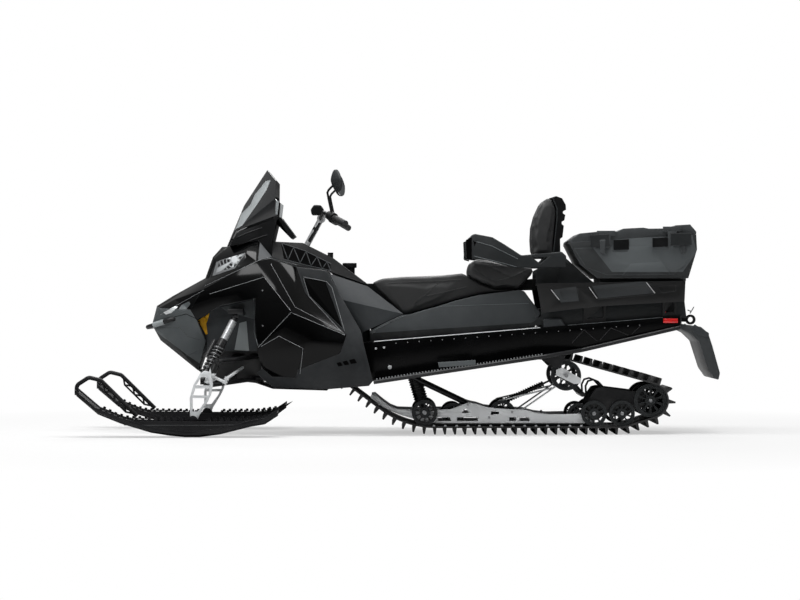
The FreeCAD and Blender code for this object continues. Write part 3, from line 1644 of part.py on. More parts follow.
def armrests():
    outer = armrest_inner_y + armrest_width
    box = (armrest_rear_x, armrest_length, armrest_low_z, armrest_height)
    rest = prism(placed(armrest_shares, *box), armrest_inner_y, outer)
    window = prism(placed(armrest_window_shares, *box), armrest_inner_y - cut_overrun,
                   outer + cut_overrun)
    return both_sides(rest.cut(window))


def backrest():
    outline = placed(backrest_shares, backrest_rear_x, backrest_length, backrest_low_z,
                     backrest_height)
    return prism(outline, -backrest_half, backrest_half)


def rack_top(x):
    front = rack_rear_x + rack_length * rack_side_shares[0][0]
    rear = rack_rear_x + rack_length * rack_side_shares[1][0]
    front_z = rack_low_z + rack_height * rack_side_shares[0][1]
    rear_z = rack_low_z + rack_height * rack_side_shares[1][1]
    return front_z + (rear_z - front_z) * (x - front) / (rear - front)


def seat_frame():
    reach = armrest_inner_y - seat_gap
    bar_z = backrest_low_z - seat_gap - seat_frame_radius
    pieces = [cross_rod(seat_frame_x, bar_z, seat_frame_radius, -reach, reach)]
    rear = seat_frame_front_x - seat_frame_length
    outline = [(x, rack_top(x) + seat_gap) for x in (rear, seat_frame_front_x)]
    outline += placed(seat_frame_shares, rear, seat_frame_length, rack_top(rear), seat_frame_height)
    for side in SIDES:
        low, high = sorted((side * seat_frame_y, side * (seat_frame_y + seat_frame_plate)))
        pieces.append(prism(outline, low, high))
    return fused(pieces)


def cargo_rack():
    box = (rack_rear_x, rack_length, rack_low_z, rack_height)
    outline = placed(rack_side_shares, *box)
    side = prism(outline, rack_half - rack_wall, rack_half)
    for window in rack_window_shares:
        side = side.cut(prism(placed(window, *box), rack_half - rack_wall / 2, rack_half + cut_overrun))
    front, rear = outline[0], outline[1]
    deck = prism([front, rear, (rear[0], rear[1] - rack_deck_thickness),
                  (front[0], front[1] - rack_deck_thickness)], -rack_half, rack_half)
    posts = [rack_post(rack_front_post_x, rack_front_post_length),
             rack_post(rack_rear_post_x, rack_rear_post_length)]
    posts += [mirrored(post) for post in posts]
    return fused([deck, side, mirrored(side)] + posts)


def rack_post(middle_x, length):
    # A bracket plate from the tunnel up to the deck, with an open window beside the cover.
    rear, front = middle_x - length / 2, middle_x + length / 2
    inner = cover_half + hood_gap
    ends = (rear, front)
    outline = [(x, tunnel_top(x) + seat_gap) for x in ends]
    outline += [(x, rack_top(x) - rack_deck_thickness / 2) for x in reversed(ends)]
    window = [
        (rear + rack_wall, tunnel_top(rear) + 2 * rack_wall),
        (front - rack_wall, tunnel_top(front) + 2 * rack_wall),
        (rear + rack_wall, tunnel_top(rear) + cover_height - rack_wall),
    ]
    plate = prism(outline, inner, inner + rack_wall)
    return plate.cut(prism(window, inner - cut_overrun, inner + rack_wall + cut_overrun))


def tunnel_cover():
    lines = (cover_front_x, cover_rear_x)
    outline = [(x, tunnel_top(x) + seat_gap) for x in lines]
    outline += [(x, tunnel_top(x) + cover_height) for x in reversed(lines)]
    return prism(outline, -cover_half, cover_half)


def cargo_box():
    outline = placed(box_shares, box_rear_x, box_length, box_low_z, box_height)
    body = hollowed(prism(outline, -box_half, box_half), outline, box_half, box_wall, 1)
    floor = min(z for _, z in outline)
    ends = [box_rear_x + share * box_length for share in box_foot_shares]
    foot = [(x, rack_top(x) + seat_gap) for x in ends]
    foot += [(x, floor) for x in reversed(ends)]
    pieces = [body, prism(foot, -box_half * box_foot_share, box_half * box_foot_share)]
    pieces += box_panels()
    for x in hinge_places():
        for side in SIDES:
            pieces.append(hinge_knuckle(x + side * hinge_length / 3))
            pieces.append(hinge_leaf(x + side * hinge_length / 3, -1))
        pieces.append(cross_pin(x))
    return fused(pieces)


def box_panels():
    # The raised field on each long wall, with the grip recesses in its top and a bulge at its foot.
    box = (box_rear_x, box_length, box_low_z, box_height)
    outer = box_half + box_panel_depth
    field = prism(placed(box_panel_shares, *box), box_half, outer)
    for recess in grip_recess_shares:
        field = field.cut(prism(placed(recess, *box), box_half, outer + cut_overrun))
    bulge = prism(placed(box_bulge_shares, *box), box_half, outer + box_bulge_depth)
    return [field, bulge, mirrored(field), mirrored(bulge)]


def hinge_places():
    return [box_rear_x + share * box_length for share in hinge_shares]


def hinge_knuckle(middle_x):
    half = Vector((hinge_length / 3 - hinge_knuckle_gap) / 2, 0, 0)
    centre = Vector(middle_x, -box_half - hinge_offset, hinge_z)
    return rod(centre - half, centre + half, hinge_radius)


def cross_pin(middle_x):
    half = Vector(hinge_length / 2, 0, 0)
    centre = Vector(middle_x, -box_half - hinge_offset, hinge_z)
    return rod(centre - half, centre + half, hinge_pin_radius)


def hinge_leaf(middle_x, side):
    # A plate from the knuckle with a pad on the wall: down to the box, or up to the lid.
    half = (hinge_length / 3 - hinge_knuckle_gap) / 2
    rear, front = middle_x - half, middle_x + half
    outer = -box_half - hinge_offset
    end = hinge_z + side * hinge_leaf_height
    start = lid_line(middle_x) + side * latch_clearance
    start = max(start, hinge_z) if side > 0 else min(start, hinge_z)
    low, high = sorted((hinge_z, end))
    plate = block(rear, front, outer, outer + hinge_leaf_thickness, low, high)
    low, high = sorted((start, end))
    return plate.fuse(block(rear, front, outer, -box_half, low, high))


def latches():
    # Plates fixed to the lid that reach down over the box's left wall, each under a wider pad.
    pieces = []
    for share in latch_shares:
        x = box_rear_x + share * box_length
        low, high = lid_line(x) - latch_drop, lid_line(x) + latch_rise
        inner = box_half + box_panel_depth + latch_clearance
        outer = inner + latch_thickness
        pieces.append(block(x - latch_length / 2, x + latch_length / 2, inner, outer, low, high))
        pieces.append(block(x - latch_length / 2, x + latch_length / 2, box_half, inner,
                            high - latch_thickness, high))
        pieces.append(block(x - latch_pad_length / 2, x + latch_pad_length / 2, box_half,
                            outer - latch_thickness / 2, high, high + latch_pad_height))
    return pieces


def lid_line(x):
    # The height of the parting line between the box and its lid.
    edge = placed(lid_edge_shares, box_rear_x, box_length, lid_low_z, lid_height)
    for (front_x, front_z), (rear_x, rear_z) in zip(edge, edge[1:]):
        if rear_x <= x <= front_x:
            return rear_z + (front_z - rear_z) * (x - rear_x) / (front_x - rear_x)


def hollowed(body, outline, half, wall, open_up):
    corners = [Vector(x, 0, z) for x, z in outline]
    face = Part.Face(Part.makePolygon(corners + corners[:1])).makeOffset2D(-wall, 2)
    inner_half = half - wall
    core = moved(face.extrude(Vector(0, 2 * inner_half, 0)), y=-inner_half)
    body = body.cut(core)
    for step in range(1, box_rim_steps + 1):
        body = body.cut(moved(core, z=open_up * wall * step / 2))
    return body


def cargo_lid():
    outline = placed(lid_edge_shares + lid_top_shares, box_rear_x, box_length, lid_low_z, lid_height)
    outline = [(x, z + lid_seam) for x, z in outline]
    lid = hollowed(prism(outline, -box_half, box_half), outline, box_half, box_wall, -1)
    pieces = [lid] + latches()
    for x in hinge_places():
        pieces.append(hinge_knuckle(x))
        pieces.append(hinge_leaf(x, 1))
    lid = fused(pieces)
    for x in hinge_places():
        half = Vector(hinge_length / 2, 0, 0)
        centre = Vector(x, -box_half - hinge_offset, hinge_z)
        lid = lid.cut(rod(centre - half, centre + half, hinge_pin_radius + pin_clearance))
    return lid


def tail_light():
    return block(cover_rear_x - lamp_bar_length - seat_gap, cover_rear_x - seat_gap, -lamp_bar_half,
                 lamp_bar_half, tunnel_top(cover_rear_x - lamp_bar_length) + seat_gap,
                 tunnel_top(cover_rear_x - lamp_bar_length) + lamp_bar_height)


def reflectors():
    inner = tunnel_half + seat_gap
    top = tunnel_top(reflector_front_x) - reflector_thickness
    plate = block(reflector_front_x - reflector_length, reflector_front_x, inner,
                  inner + reflector_thickness, top - reflector_height, top)
    return both_sides(plate)


def snow_flap():
    outline = placed(flap_shares, flap_rear_x, flap_length, flap_low_z, flap_height)
    front = tunnel_rear_x - hitch_plate_thickness - 2 * seat_gap
    outline[0] = (front, outline[0][1])
    outline[-1] = (front, outline[-1][1])
    return prism(outline, -flap_half, flap_half)


def tow_hitch():
    top = tunnel_rear_top_z
    front = tunnel_rear_x - seat_gap
    plate = block(front - hitch_plate_thickness, front, -tunnel_half, tunnel_half,
                  top - hitch_plate_height, top)
    bar = block(hitch_x, front, -hitch_width / 2, hitch_width / 2,
                hitch_z - hitch_bar_height / 2, hitch_z + hitch_bar_height / 2)
    ring = cross_rod(hitch_x, hitch_z, hitch_radius, -hitch_width / 2, hitch_width / 2)
    bore = cross_rod(hitch_x, hitch_z, hitch_bore_radius, -hitch_width, hitch_width)
    return fused([plate, bar, ring]).cut(bore)


def post_direction():
    return Vector(-post_lean, 0, post_rise).normalize()


def post_foot():
    return cowl_points()["post_foot"]


def post_top():
    return post_foot() + Vector(-post_lean, 0, post_rise)


def post_rod(radius, depth):
    return rod(post_foot() - post_direction() * depth, post_top(), radius)


def steering_post():
    top = post_top()
    clamp = cross_rod(top.x, top.z, clamp_radius, -clamp_half, clamp_half)
    bore = cross_rod(top.x, top.z, bar_radius + seat_gap, -2 * clamp_half, 2 * clamp_half)
    return fused([post_rod(post_radius, post_depth), clamp]).cut(bore)


def bar_kick():
    return post_top() + Vector(-bar_kick_back, bar_kick_y, bar_kick_rise)


def bar_end():
    return post_top() + Vector(-bar_end_back, bar_end_y, -bar_end_drop)


def bar_path():
    top = post_top()
    half = [Vector(top.x, clamp_half + bar_bend_radius, top.z), bar_kick(), bar_end()]
    return [mirror_point(point) for point in reversed(half)] + half


def handlebar():
    return bent_tube(bar_path(), bar_radius, bar_bend_radius)


def bar_place(distance):
    # A point on the left end of the bar, measured from its tip, and the direction inboard.
    inboard = (bar_kick() - bar_end()).normalize()
    return bar_end() + inboard * distance, inboard


def grips():
    start, inboard = bar_place(0.0)
    outside = rod(start - inboard * bar_radius, start + inboard * grip_length, grip_radius)
    grip = outside.cut(rod(start - inboard * seat_gap, start + inboard * (grip_length + cut_overrun),
                           bar_radius + seat_gap))
    return both_sides(grip)


def hand_controls():
    centre, inboard = bar_place(grip_length + control_length / 2 + ring_gap)
    half = inboard * (control_length / 2)
    body = rod(centre - half, centre + half, control_depth / 2)
    bore = rod(centre - half * 2, centre + half * 2, bar_radius + seat_gap)
    return both_sides(body.cut(bore))


def mirrors():
    centre, _ = bar_place(grip_length + control_length / 2 + ring_gap)
    foot = centre + UP * (control_depth / 2 - seat_gap)
    elbow = foot + UP * mirror_elbow_rise + FORWARD * mirror_elbow_reach
    head = elbow + UP * mirror_head_rise - FORWARD * mirror_head_reach
    stem = bent_tube([foot, elbow, head], mirror_stem_radius, mirror_bend_radius)
    middle = head - FORWARD * (mirror_head_depth / 2) + LEFTWARD * mirror_head_offset
    rim = Part.Ellipse(middle, mirror_head_half_width, mirror_head_half_height).toShape()
    rim.rotate(middle, LEFTWARD, QUARTER_TURN)
    rim.rotate(middle, FORWARD, QUARTER_TURN)
    face = Part.Face(Part.Wire([rim]))
    shell = face.extrude(FORWARD * mirror_head_depth)
    controls = hand_controls().Solids[0]
    return both_sides(fused([stem.cut(controls), shell]))


def build():
    os.makedirs("parts", exist_ok=True)
    save("track", track())
    save("drive_axle", drive_axle())
    save("track_wheels", track_wheels())
    save("wheel_shafts", wheel_shafts())
    save("slide_rails", slide_rails())
    save("rail_brackets", rail_brackets())
    save("slide_shoes", slide_shoes())
    save("torque_arms", torque_arms())
    save("track_shocks", track_shocks())
    save("tunnel", tunnel())
    save("running_boards", running_boards())
    save("side_panels", side_panels())
    save("footwells", footwells())
    save("side_vents", side_vents())
    save("hood", hood())
    save("headlights", headlights())
    save("nose_cowl", nose_cowl())
    save("front_bumper", front_bumper())
    save("belly_pan", belly_pan())
    save("front_frame", front_frame())
    save("inner_fenders", inner_fenders())
    save("engine", engine())
    save("windshield", windshield())
    save("dash_pod", dash_pod())
    save("console", console())
    save("fuel_tank", fuel_tank())
    save("fuel_cap", fuel_cap())
    save("driver_seat", driver_seat())
    save("seat_base", seat_base())
    save("passenger_seat", passenger_seat())
    save("armrests", armrests())
    save("backrest", backrest())
    save("seat_frame", seat_frame())
    save("cargo_rack", cargo_rack())
    save("tunnel_cover", tunnel_cover())
    save("cargo_box", cargo_box())
    save("cargo_lid", cargo_lid())
    save("tail_light", tail_light())
    save("reflectors", reflectors())
    save("snow_flap", snow_flap())
    save("tow_hitch", tow_hitch())
    save("control_arms", control_arms())
    left_shock = front_shock()
    save("front_shocks", both_sides(left_shock))
    save("steering_post", steering_post())
    save("handlebar", handlebar())
    save("grips", grips())
    save("hand_controls", hand_controls())
    save("mirrors", mirrors())
    for name, piece in (("spindle", spindle()), ("tie_rod", tie_rod()), ("ski", ski()),
                        ("ski_loop", ski_loop())):
        save(name + "_left", piece)
        save(name + "_right", mirrored(piece))


build()
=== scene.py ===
# %% [markdown]
# # A two-up utility snowmobile
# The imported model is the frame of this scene: every piece below sits on one of its bodies. Each
# step says what the piece is on the real machine, how Blender can make it, and why it is made so.

# %% Load the frame
import bpy
import bmesh
import json
import math
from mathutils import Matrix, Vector
from mathutils.bvhtree import BVHTree


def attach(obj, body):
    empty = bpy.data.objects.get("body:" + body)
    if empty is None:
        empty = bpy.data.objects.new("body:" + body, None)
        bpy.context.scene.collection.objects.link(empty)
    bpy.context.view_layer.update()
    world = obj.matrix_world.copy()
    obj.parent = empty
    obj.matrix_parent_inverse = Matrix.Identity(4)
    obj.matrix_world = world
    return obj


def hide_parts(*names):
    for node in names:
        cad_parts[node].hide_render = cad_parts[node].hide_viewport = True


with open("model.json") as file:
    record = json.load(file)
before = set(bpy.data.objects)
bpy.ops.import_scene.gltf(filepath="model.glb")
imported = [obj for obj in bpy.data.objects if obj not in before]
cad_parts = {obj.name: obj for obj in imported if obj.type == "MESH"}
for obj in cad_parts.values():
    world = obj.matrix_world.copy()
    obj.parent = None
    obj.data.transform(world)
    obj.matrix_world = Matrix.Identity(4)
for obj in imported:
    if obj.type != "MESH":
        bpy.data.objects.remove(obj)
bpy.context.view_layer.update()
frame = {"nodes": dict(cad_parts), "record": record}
body_of = {node: body for body, nodes in frame["record"]["behaviour"]["bodies"].items()
           for node in nodes}

# %% [markdown]
# ## Camera
# The machine stands side on, seen from its left with a long lens, so its lines hardly converge.
# A camera could be turned by hand until it fits; here its distance and lens come from the size of
# the machine in the picture, so the view can be worked out again.

# %% Camera
camera_distance = 14.2
camera_height = 0.711
width_at_centre = 4.304
sensor = 36.0
camera = bpy.data.objects.new("camera", bpy.data.cameras.new("camera"))
bpy.context.scene.collection.objects.link(camera)
camera.data.sensor_width = sensor
camera.data.lens = sensor * camera_distance / width_at_centre
camera.location = (0, camera_distance, camera_height)
camera.rotation_euler = (math.pi / 2, 0, math.pi)
camera.data.clip_end = 100
bpy.context.scene.camera = camera
print("lens", round(camera.data.lens, 1), "mm")

# %% [markdown]
# ## Shader expressions
# A finish is mostly arithmetic: a pattern times a strength plus a base value. Wiring each Math node
# by hand hides that, so one class wraps a socket and lets Python's own operators add the nodes.
# Colours and vectors go through Mix and Vector Math, because a Math node turns them grey.

# %% Shader class
class Wave:
    def __init__(self, net, socket):
        self.net = net
        self.socket = socket

    def calc(self, operation, *values):
        return self.net.node("ShaderNodeMath", {"operation": operation}, dict(enumerate(values)))

    def __add__(self, other):
        return self.calc("ADD", self, other)

    def __mul__(self, other):
        return self.calc("MULTIPLY", self, other)

    def __sub__(self, other):
        return self.calc("SUBTRACT", self, other)

    def __rsub__(self, other):
        return self.calc("SUBTRACT", other, self)

    def __gt__(self, other):
        return self.calc("GREATER_THAN", self, other)

    def __pow__(self, other):
        return self.calc("POWER", self, other)

    __radd__ = __add__


class Net:
    def __init__(self, name, owner=None):
        self.material = owner or bpy.data.materials.new(name)
        self.material.use_nodes = True
        self.tree = self.material.node_tree
        self.shader = self.tree.nodes.get("Principled BSDF")

    def node(self, kind, settings=None, inputs=None, output=0):
        made = self.tree.nodes.new(kind)
        for key, value in (settings or {}).items():
            if key == "stops":
                ramp = made.color_ramp
                for element, (place, colour) in zip(ramp.elements, value):
                    element.position = place
                    element.color = (*colour, 1)
            else:
                setattr(made, key, value)
        for key, value in (inputs or {}).items():
            if isinstance(value, Wave):
                self.tree.links.new(value.socket, made.inputs[key])
            else:
                made.inputs[key].default_value = value
        return Wave(self, made.outputs[output])

    def place(self):
        return self.node("ShaderNodeTexCoord", output="Object")

    def stretched(self, scale):
        return self.node("ShaderNodeVectorMath", {"operation": "MULTIPLY"}, {0: self.place(), 1: scale})

    def noise(self, scale, detail=3.0, roughness=0.55, vector=None):
        return self.node("ShaderNodeTexNoise", None,
                         {"Vector": vector or self.place(), "Scale": scale, "Detail": detail,
                          "Roughness": roughness})

    def cells(self, scale, feature="F1", vector=None):
        return self.node("ShaderNodeTexVoronoi", {"feature": feature},
                         {"Vector": vector or self.place(), "Scale": scale})

    def spread(self, value, low, high, to_low=0.0, to_high=1.0):
        return self.node("ShaderNodeMapRange", None,
                         {"Value": value, "From Min": low, "From Max": high, "To Min": to_low,
                          "To Max": to_high})

    def dust(self):
        return self.spread(self.noise(5.0, 6.0, 0.65), 0.42, 0.72)

    def mix(self, factor, first, second):
        return self.node("ShaderNodeMix", {"data_type": "RGBA"},
                         {0: factor, 6: (*first, 1) if isinstance(first, tuple) else first,
                          7: (*second, 1) if isinstance(second, tuple) else second}, 2)

    def inside(self, corners):
        # 1 within a convex outline in the side view, given as (x, z) corners.
        across, up = (self.node("ShaderNodeSeparateXYZ", None, {0: self.place()}, axis) for axis in "XZ")
        middle = [sum(corner[axis] for corner in corners) / len(corners) for axis in (0, 1)]
        kept = None
        for (x0, z0), (x1, z1) in zip(corners, corners[1:] + corners[:1]):
            lean, rise = z1 - z0, x0 - x1
            level = x0 * lean + z0 * rise
            if middle[0] * lean + middle[1] * rise < level:
                lean, rise, level = -lean, -rise, -level
            side = (across * lean + up * rise) > level
            kept = side if kept is None else kept * side
        return kept

    def within(self, outlines, side):
        # 1 within any of the outlines, each given as picture points at one distance from the middle.
        field = None
        for outline in outlines:
            here = self.inside(side_view(outline, side))
            field = here if field is None else field.calc("MAXIMUM", field, here)
        return field

    def bump(self, height, strength, distance):
        return self.node("ShaderNodeBump", None,
                         {"Height": height, "Strength": strength, "Distance": distance})

    def edge_wear_and_glint(self, radius=0.006):
        # Most finishes pale their worn edges with it; on the lacquer the pale edges are a painted highlight.
        # How far a point lies on a convex edge: the bevelled normal leaves the true one there.
        soft = self.node("ShaderNodeBevel", {"samples": 4}, {"Radius": radius})
        true = self.node("ShaderNodeNewGeometry", output="Normal")
        same = self.node("ShaderNodeVectorMath", {"operation": "DOT_PRODUCT"}, {0: soft, 1: true}, 1)
        return self.spread(same, 0.995, 0.90)

    def finish(self, **sockets):
        for key, value in sockets.items():
            socket = self.shader.inputs[key.replace("_", " ")]
            if isinstance(value, Wave):
                self.tree.links.new(value.socket, socket)
            else:
                socket.default_value = (*value, 1) if isinstance(value, tuple) else value
        return self.material


# %% [markdown]
# ## Finishes
# The machine is nearly all black, so what tells its pieces apart is how each one shines: lacquered
# panels, grained plastic, vinyl, rubber and coated metal. Each finish gets its own grain, wear and
# dust, all from noise on Object coordinates, so nothing slides when a piece moves. The lacquer's pale
# edges are a painted highlight.

# %% Plastics
def lacquer_black():
    net = Net("lacquer_black")
    dust = net.spread(net.noise(3.0, 5.0, 0.6), 0.45, 0.75)
    scratch = net.spread(net.noise(60.0, 4.0, 0.7, net.stretched((1.0, 1.0, 9.0))), 0.55, 0.8)
    # The pale tone on the convex edges is a painted highlight, for the light that the lacquered creases
    # catch.
    edge = net.edge_wear_and_glint(0.004)
    clean = net.mix(dust * 0.25, (0.0012, 0.0013, 0.0014), (0.006, 0.0065, 0.007))
    return net.finish(Base_Color=net.mix(edge * 0.9, clean, (0.12, 0.125, 0.13)),
                      Roughness=0.07 + dust * 0.08 + scratch * 0.04, Coat_Weight=0.03,
                      Coat_Roughness=0.03, Specular_IOR_Level=0.15,
                      Normal=net.bump(net.noise(220.0, 1.0), 0.03, 0.0005))


# Each finish is given its colour, the paler tone of its dust and worn edges, and its roughness.
def grained_plastic(name, colour, pale, roughness, depth=0.35, worn=0.4, specular=0.22):
    net = Net(name)
    grain = net.cells(900.0)
    dust = net.dust()
    edge = net.edge_wear_and_glint(0.005)
    return net.finish(Base_Color=net.mix(dust * 0.25 + edge * worn, colour, pale),
                      Roughness=roughness + dust * 0.12 - edge * 0.15, Specular_IOR_Level=specular,
                      Normal=net.bump(grain, depth, 0.0004))


panel_black = lacquer_black()
plastic_black = grained_plastic("plastic_black", (0.0030, 0.0033, 0.0036), (0.03, 0.031, 0.033), 0.40,
                                specular=0.14)
# hollow_black is near-black and matt: on the side vents it is their black mesh with painted shade of the
# opening behind, on the console truss and footwell louvres painted shade in hollows, on the armrest blocks
# their own black.
hollow_black = grained_plastic("hollow_black", (0.0005, 0.0005, 0.0006), (0.004, 0.004, 0.004), 0.75,
                               depth=0.3, worn=0.2, specular=0.04)
strut_grey = grained_plastic("strut_grey", (0.30, 0.33, 0.335), (0.42, 0.44, 0.45), 0.40, depth=0.15)
plastic_dark = grained_plastic("plastic_dark", (0.016, 0.018, 0.019), (0.05, 0.053, 0.055), 0.42)
plastic_grey = grained_plastic("plastic_grey", (0.036, 0.040, 0.043), (0.10, 0.105, 0.11), 0.44)
plastic_well = grained_plastic("plastic_well", (0.013, 0.0145, 0.016), (0.07, 0.075, 0.078), 0.44)
plastic_nose = grained_plastic("plastic_nose", (0.084, 0.094, 0.098), (0.18, 0.195, 0.20), 0.44)
plastic_lid = grained_plastic("plastic_lid", (0.044, 0.048, 0.050), (0.10, 0.105, 0.11), 0.42)
plastic_ski = grained_plastic("plastic_ski", (0.005, 0.005, 0.006), (0.03, 0.031, 0.033), 0.33, depth=0.15)
marker_amber = grained_plastic("marker_amber", (0.80, 0.40, 0.012), (0.9, 0.55, 0.05), 0.30, depth=0.10)
print("plastics", [m.name for m in (panel_black, plastic_black, plastic_grey, plastic_ski, marker_amber)])

# %% Vinyl and rubber
def vinyl():
    net = Net("vinyl_black")
    grain = net.cells(420.0, "SMOOTH_F1")
    folds = net.noise(14.0, 4.0, 0.55)
    worn = net.spread(net.noise(4.0, 5.0, 0.6), 0.45, 0.75)
    return net.finish(Base_Color=net.mix(worn * 0.5, (0.012, 0.0125, 0.013), (0.034, 0.035, 0.036)),
                      Roughness=0.40 + grain * 0.14 + worn * 0.08,
                      Normal=net.bump(grain + folds * 0.6, 0.35, 0.0006))


def rubber(name, colour, pale, roughness):
    net = Net(name)
    dust = net.spread(net.noise(9.0, 7.0, 0.7), 0.40, 0.75)
    fine = net.noise(260.0, 4.0, 0.6)
    edge = net.edge_wear_and_glint(0.004)
    return net.finish(Base_Color=net.mix(dust * 0.5 + edge * 0.3, colour, pale),
                      Roughness=roughness + dust * 0.12, Normal=net.bump(fine, 0.4, 0.0005))


vinyl_black = vinyl()
track_rubber = rubber("track_rubber", (0.011, 0.011, 0.0115), (0.05, 0.05, 0.051), 0.62)
grip_rubber = rubber("grip_rubber", (0.008, 0.008, 0.0085), (0.03, 0.03, 0.031), 0.55)
print("soft finishes", vinyl_black.name, track_rubber.name, grip_rubber.name)

# %% Metals
def metal(name, colour, pale, roughness, grain=(1.0, 40.0, 40.0), metallic=1.0, specular=0.35):
    net = Net(name)
    brushed = net.noise(30.0, 3.0, 0.6, net.stretched(grain))
    stain = net.spread(net.noise(7.0, 5.0, 0.6), 0.4, 0.75)
    edge = net.edge_wear_and_glint(0.003)
    return net.finish(Base_Color=net.mix(stain * 0.3 + edge * 0.5, colour, pale),
                      Roughness=roughness + brushed * 0.15 + stain * 0.05, Metallic=metallic,
                      Specular_IOR_Level=specular, Normal=net.bump(brushed, 0.10, 0.0004))


silver_coat = metal("silver_coat", (0.66, 0.68, 0.69), (0.80, 0.82, 0.83), 0.32, metallic=0.1)
coated_black = metal("coated_black", (0.006, 0.0062, 0.007), (0.04, 0.041, 0.043), 0.28, metallic=0.0)
tunnel_black = metal("tunnel_black", (0.0012, 0.0013, 0.0015), (0.008, 0.0085, 0.009), 0.12, metallic=0.0,
                     specular=0.10)
steel = metal("steel", (0.36, 0.37, 0.38), (0.6, 0.6, 0.61), 0.30)
rail_silver = metal("rail_silver", (0.86, 0.88, 0.89), (0.92, 0.93, 0.94), 0.30, metallic=0.05)
coil_grey = metal("coil_grey", (0.22, 0.225, 0.23), (0.5, 0.51, 0.52), 0.22, metallic=0.7)
# edge_glint is a pale grey: on the panel, hood lip and vent lines it is a painted highlight, on screws and
# board teeth their own metal.
edge_glint = metal("edge_glint", (0.20, 0.21, 0.215), (0.34, 0.35, 0.36), 0.22, metallic=0.2)
engine_grey = metal("engine_grey", (0.12, 0.12, 0.125), (0.3, 0.3, 0.31), 0.5, grain=(1, 1, 1))
print("metals", silver_coat.name, coated_black.name, tunnel_black.name, steel.name)

# %% [markdown]
# ## Places read from the picture
# Many small pieces are best seen in the picture. A picture point gives a sight line from the
# camera, and the place where that line meets the machine is where the piece sits, so it lies on
# what carries it from every side and not only in this view.

# %% Picture points
picture_centre = (400, 300)
picture_scale = width_at_centre / 800


def seen(column, row, side):
    scale = picture_scale * (camera_distance - side) / camera_distance
    return Vector(((picture_centre[0] - column) * scale, side,
                   camera_height + (picture_centre[1] - row) * scale))


def side_view(points, side):
    return [(place.x, place.z) for place in (seen(column, row, side) for column, row in points)]


def skin_of(*nodes):
    build = bmesh.new()
    for node in nodes:
        build.from_mesh(frame["nodes"][node].data if isinstance(node, str) else node.data)
    tree = BVHTree.FromBMesh(build)
    build.free()
    return tree


edge_reach = 0.08


def met(column, row, skin, side=0.2):
    eye = Vector(camera.location)
    place, normal, face, reach = skin.ray_cast(eye, (seen(column, row, 0) - eye).normalized())
    if place is None:
        # A line that just misses an edge takes the nearest place on it.
        place, normal, face, reach = skin.find_nearest(seen(column, row, side))
        if reach > edge_reach:
            raise ValueError(f"nothing is seen at {column}, {row}")
    return place, normal


print("picture scale", round(picture_scale * 1000, 2), "mm at the middle plane")

# %% Glass and lamps
def smoked_screen():
    net = Net("screen_smoke")
    smear = net.spread(net.noise(6.0, 5.0, 0.6), 0.45, 0.8)
    clear_strip = net.inside(side_view([(266, 181), (271, 180.5), (267, 190), (243, 226), (231, 232),
                                        (245, 206)], 0.14))
    fin = net.inside(side_view([(276, 199), (282.5, 202), (281, 216), (275, 214)], 0.27))
    aside = net.node("ShaderNodeSeparateXYZ", None, {0: net.place()}, "Y")
    wing = aside.calc("ABSOLUTE", aside) > 0.125
    light = clear_strip.calc("MAXIMUM", clear_strip * wing, fin)
    return net.finish(Base_Color=net.mix(light, (0.012, 0.013, 0.014), (0.42, 0.45, 0.46)),
                      Roughness=0.06 + smear * 0.08, Coat_Weight=0.5, Coat_Roughness=0.02,
                      Alpha=0.97 - light * 0.35 - smear * 0.04)


def lamp_bowl():
    # The chrome reflector behind the lens is painted into its colour: ribs and rings fan out from the
    # bulb as painted reflections, brightest at the bulb and fading outwards, inside a painted bright
    # rim, and the bezel round them is dark.
    net = Net("lamp_clear")
    outline = [(212, 276), (216, 262), (235, 254.5), (246, 253.0), (235, 268.5)]
    bulb = (234.5, 259.5)
    inner = [(bulb[0] + (column - bulb[0]) * 0.84, bulb[1] + (row - bulb[1]) * 0.80)
             for column, row in outline]
    glass, bowl = net.inside(side_view(outline, 0.24)), net.inside(side_view(inner, 0.24))
    middle = seen(*bulb, 0.24)
    across = net.node("ShaderNodeSeparateXYZ", None, {0: net.place()}, "X") - middle.x
    up = net.node("ShaderNodeSeparateXYZ", None, {0: net.place()}, "Z") - middle.z
    turn = across.calc("ARCTAN2", up, across)
    out = (across * across + up * up) ** 0.5
    fan = net.spread(turn.calc("SINE", turn * 8.0), 0.1, 0.8)
    steps = net.spread(out.calc("SINE", out * 330.0), 0.5, 0.9)
    near = net.spread(out, 0.016, 0.022, 1.0, 0.0)
    bright = fan.calc("MAXIMUM", fan.calc("MAXIMUM", fan * 0.8, steps * 0.45), near)
    bright = bright * bowl * net.spread(out, 0.05, 0.14, 1.0, 0.30) + (glass - bowl) * 0.20
    tone = net.mix(bright, (0.012, 0.0125, 0.0135), (0.80, 0.83, 0.85))
    return net.finish(Base_Color=tone, Metallic=bright * 0.3, Roughness=0.10 + bright * 0.10,
                      Coat_Weight=0.35, Coat_Roughness=0.02, Normal=net.bump(bright, 0.6, 0.004))


def lens(name, colour, painted_glow):
    # The emission is a painted glow: the tail light and the reflectors are unlit.
    net = Net(name)
    ribs = net.cells(160.0)
    return net.finish(Base_Color=net.mix(ribs, tuple(c * 0.55 for c in colour), colour),
                      Roughness=0.10 + ribs * 0.10, Coat_Weight=0.8, Coat_Roughness=0.03,
                      Emission_Color=colour, Emission_Strength=painted_glow, Normal=net.bump(ribs, 0.35, 0.0015))


screen_smoke = smoked_screen()
lamp_clear = lamp_bowl()
lamp_red = lens("lamp_red", (0.75, 0.012, 0.012), 0.12)
mirror_glass = metal("mirror_glass", (0.72, 0.76, 0.78), (0.8, 0.82, 0.84), 0.03)
print("lamps", lamp_clear.name, lamp_red.name, mirror_glass.name)

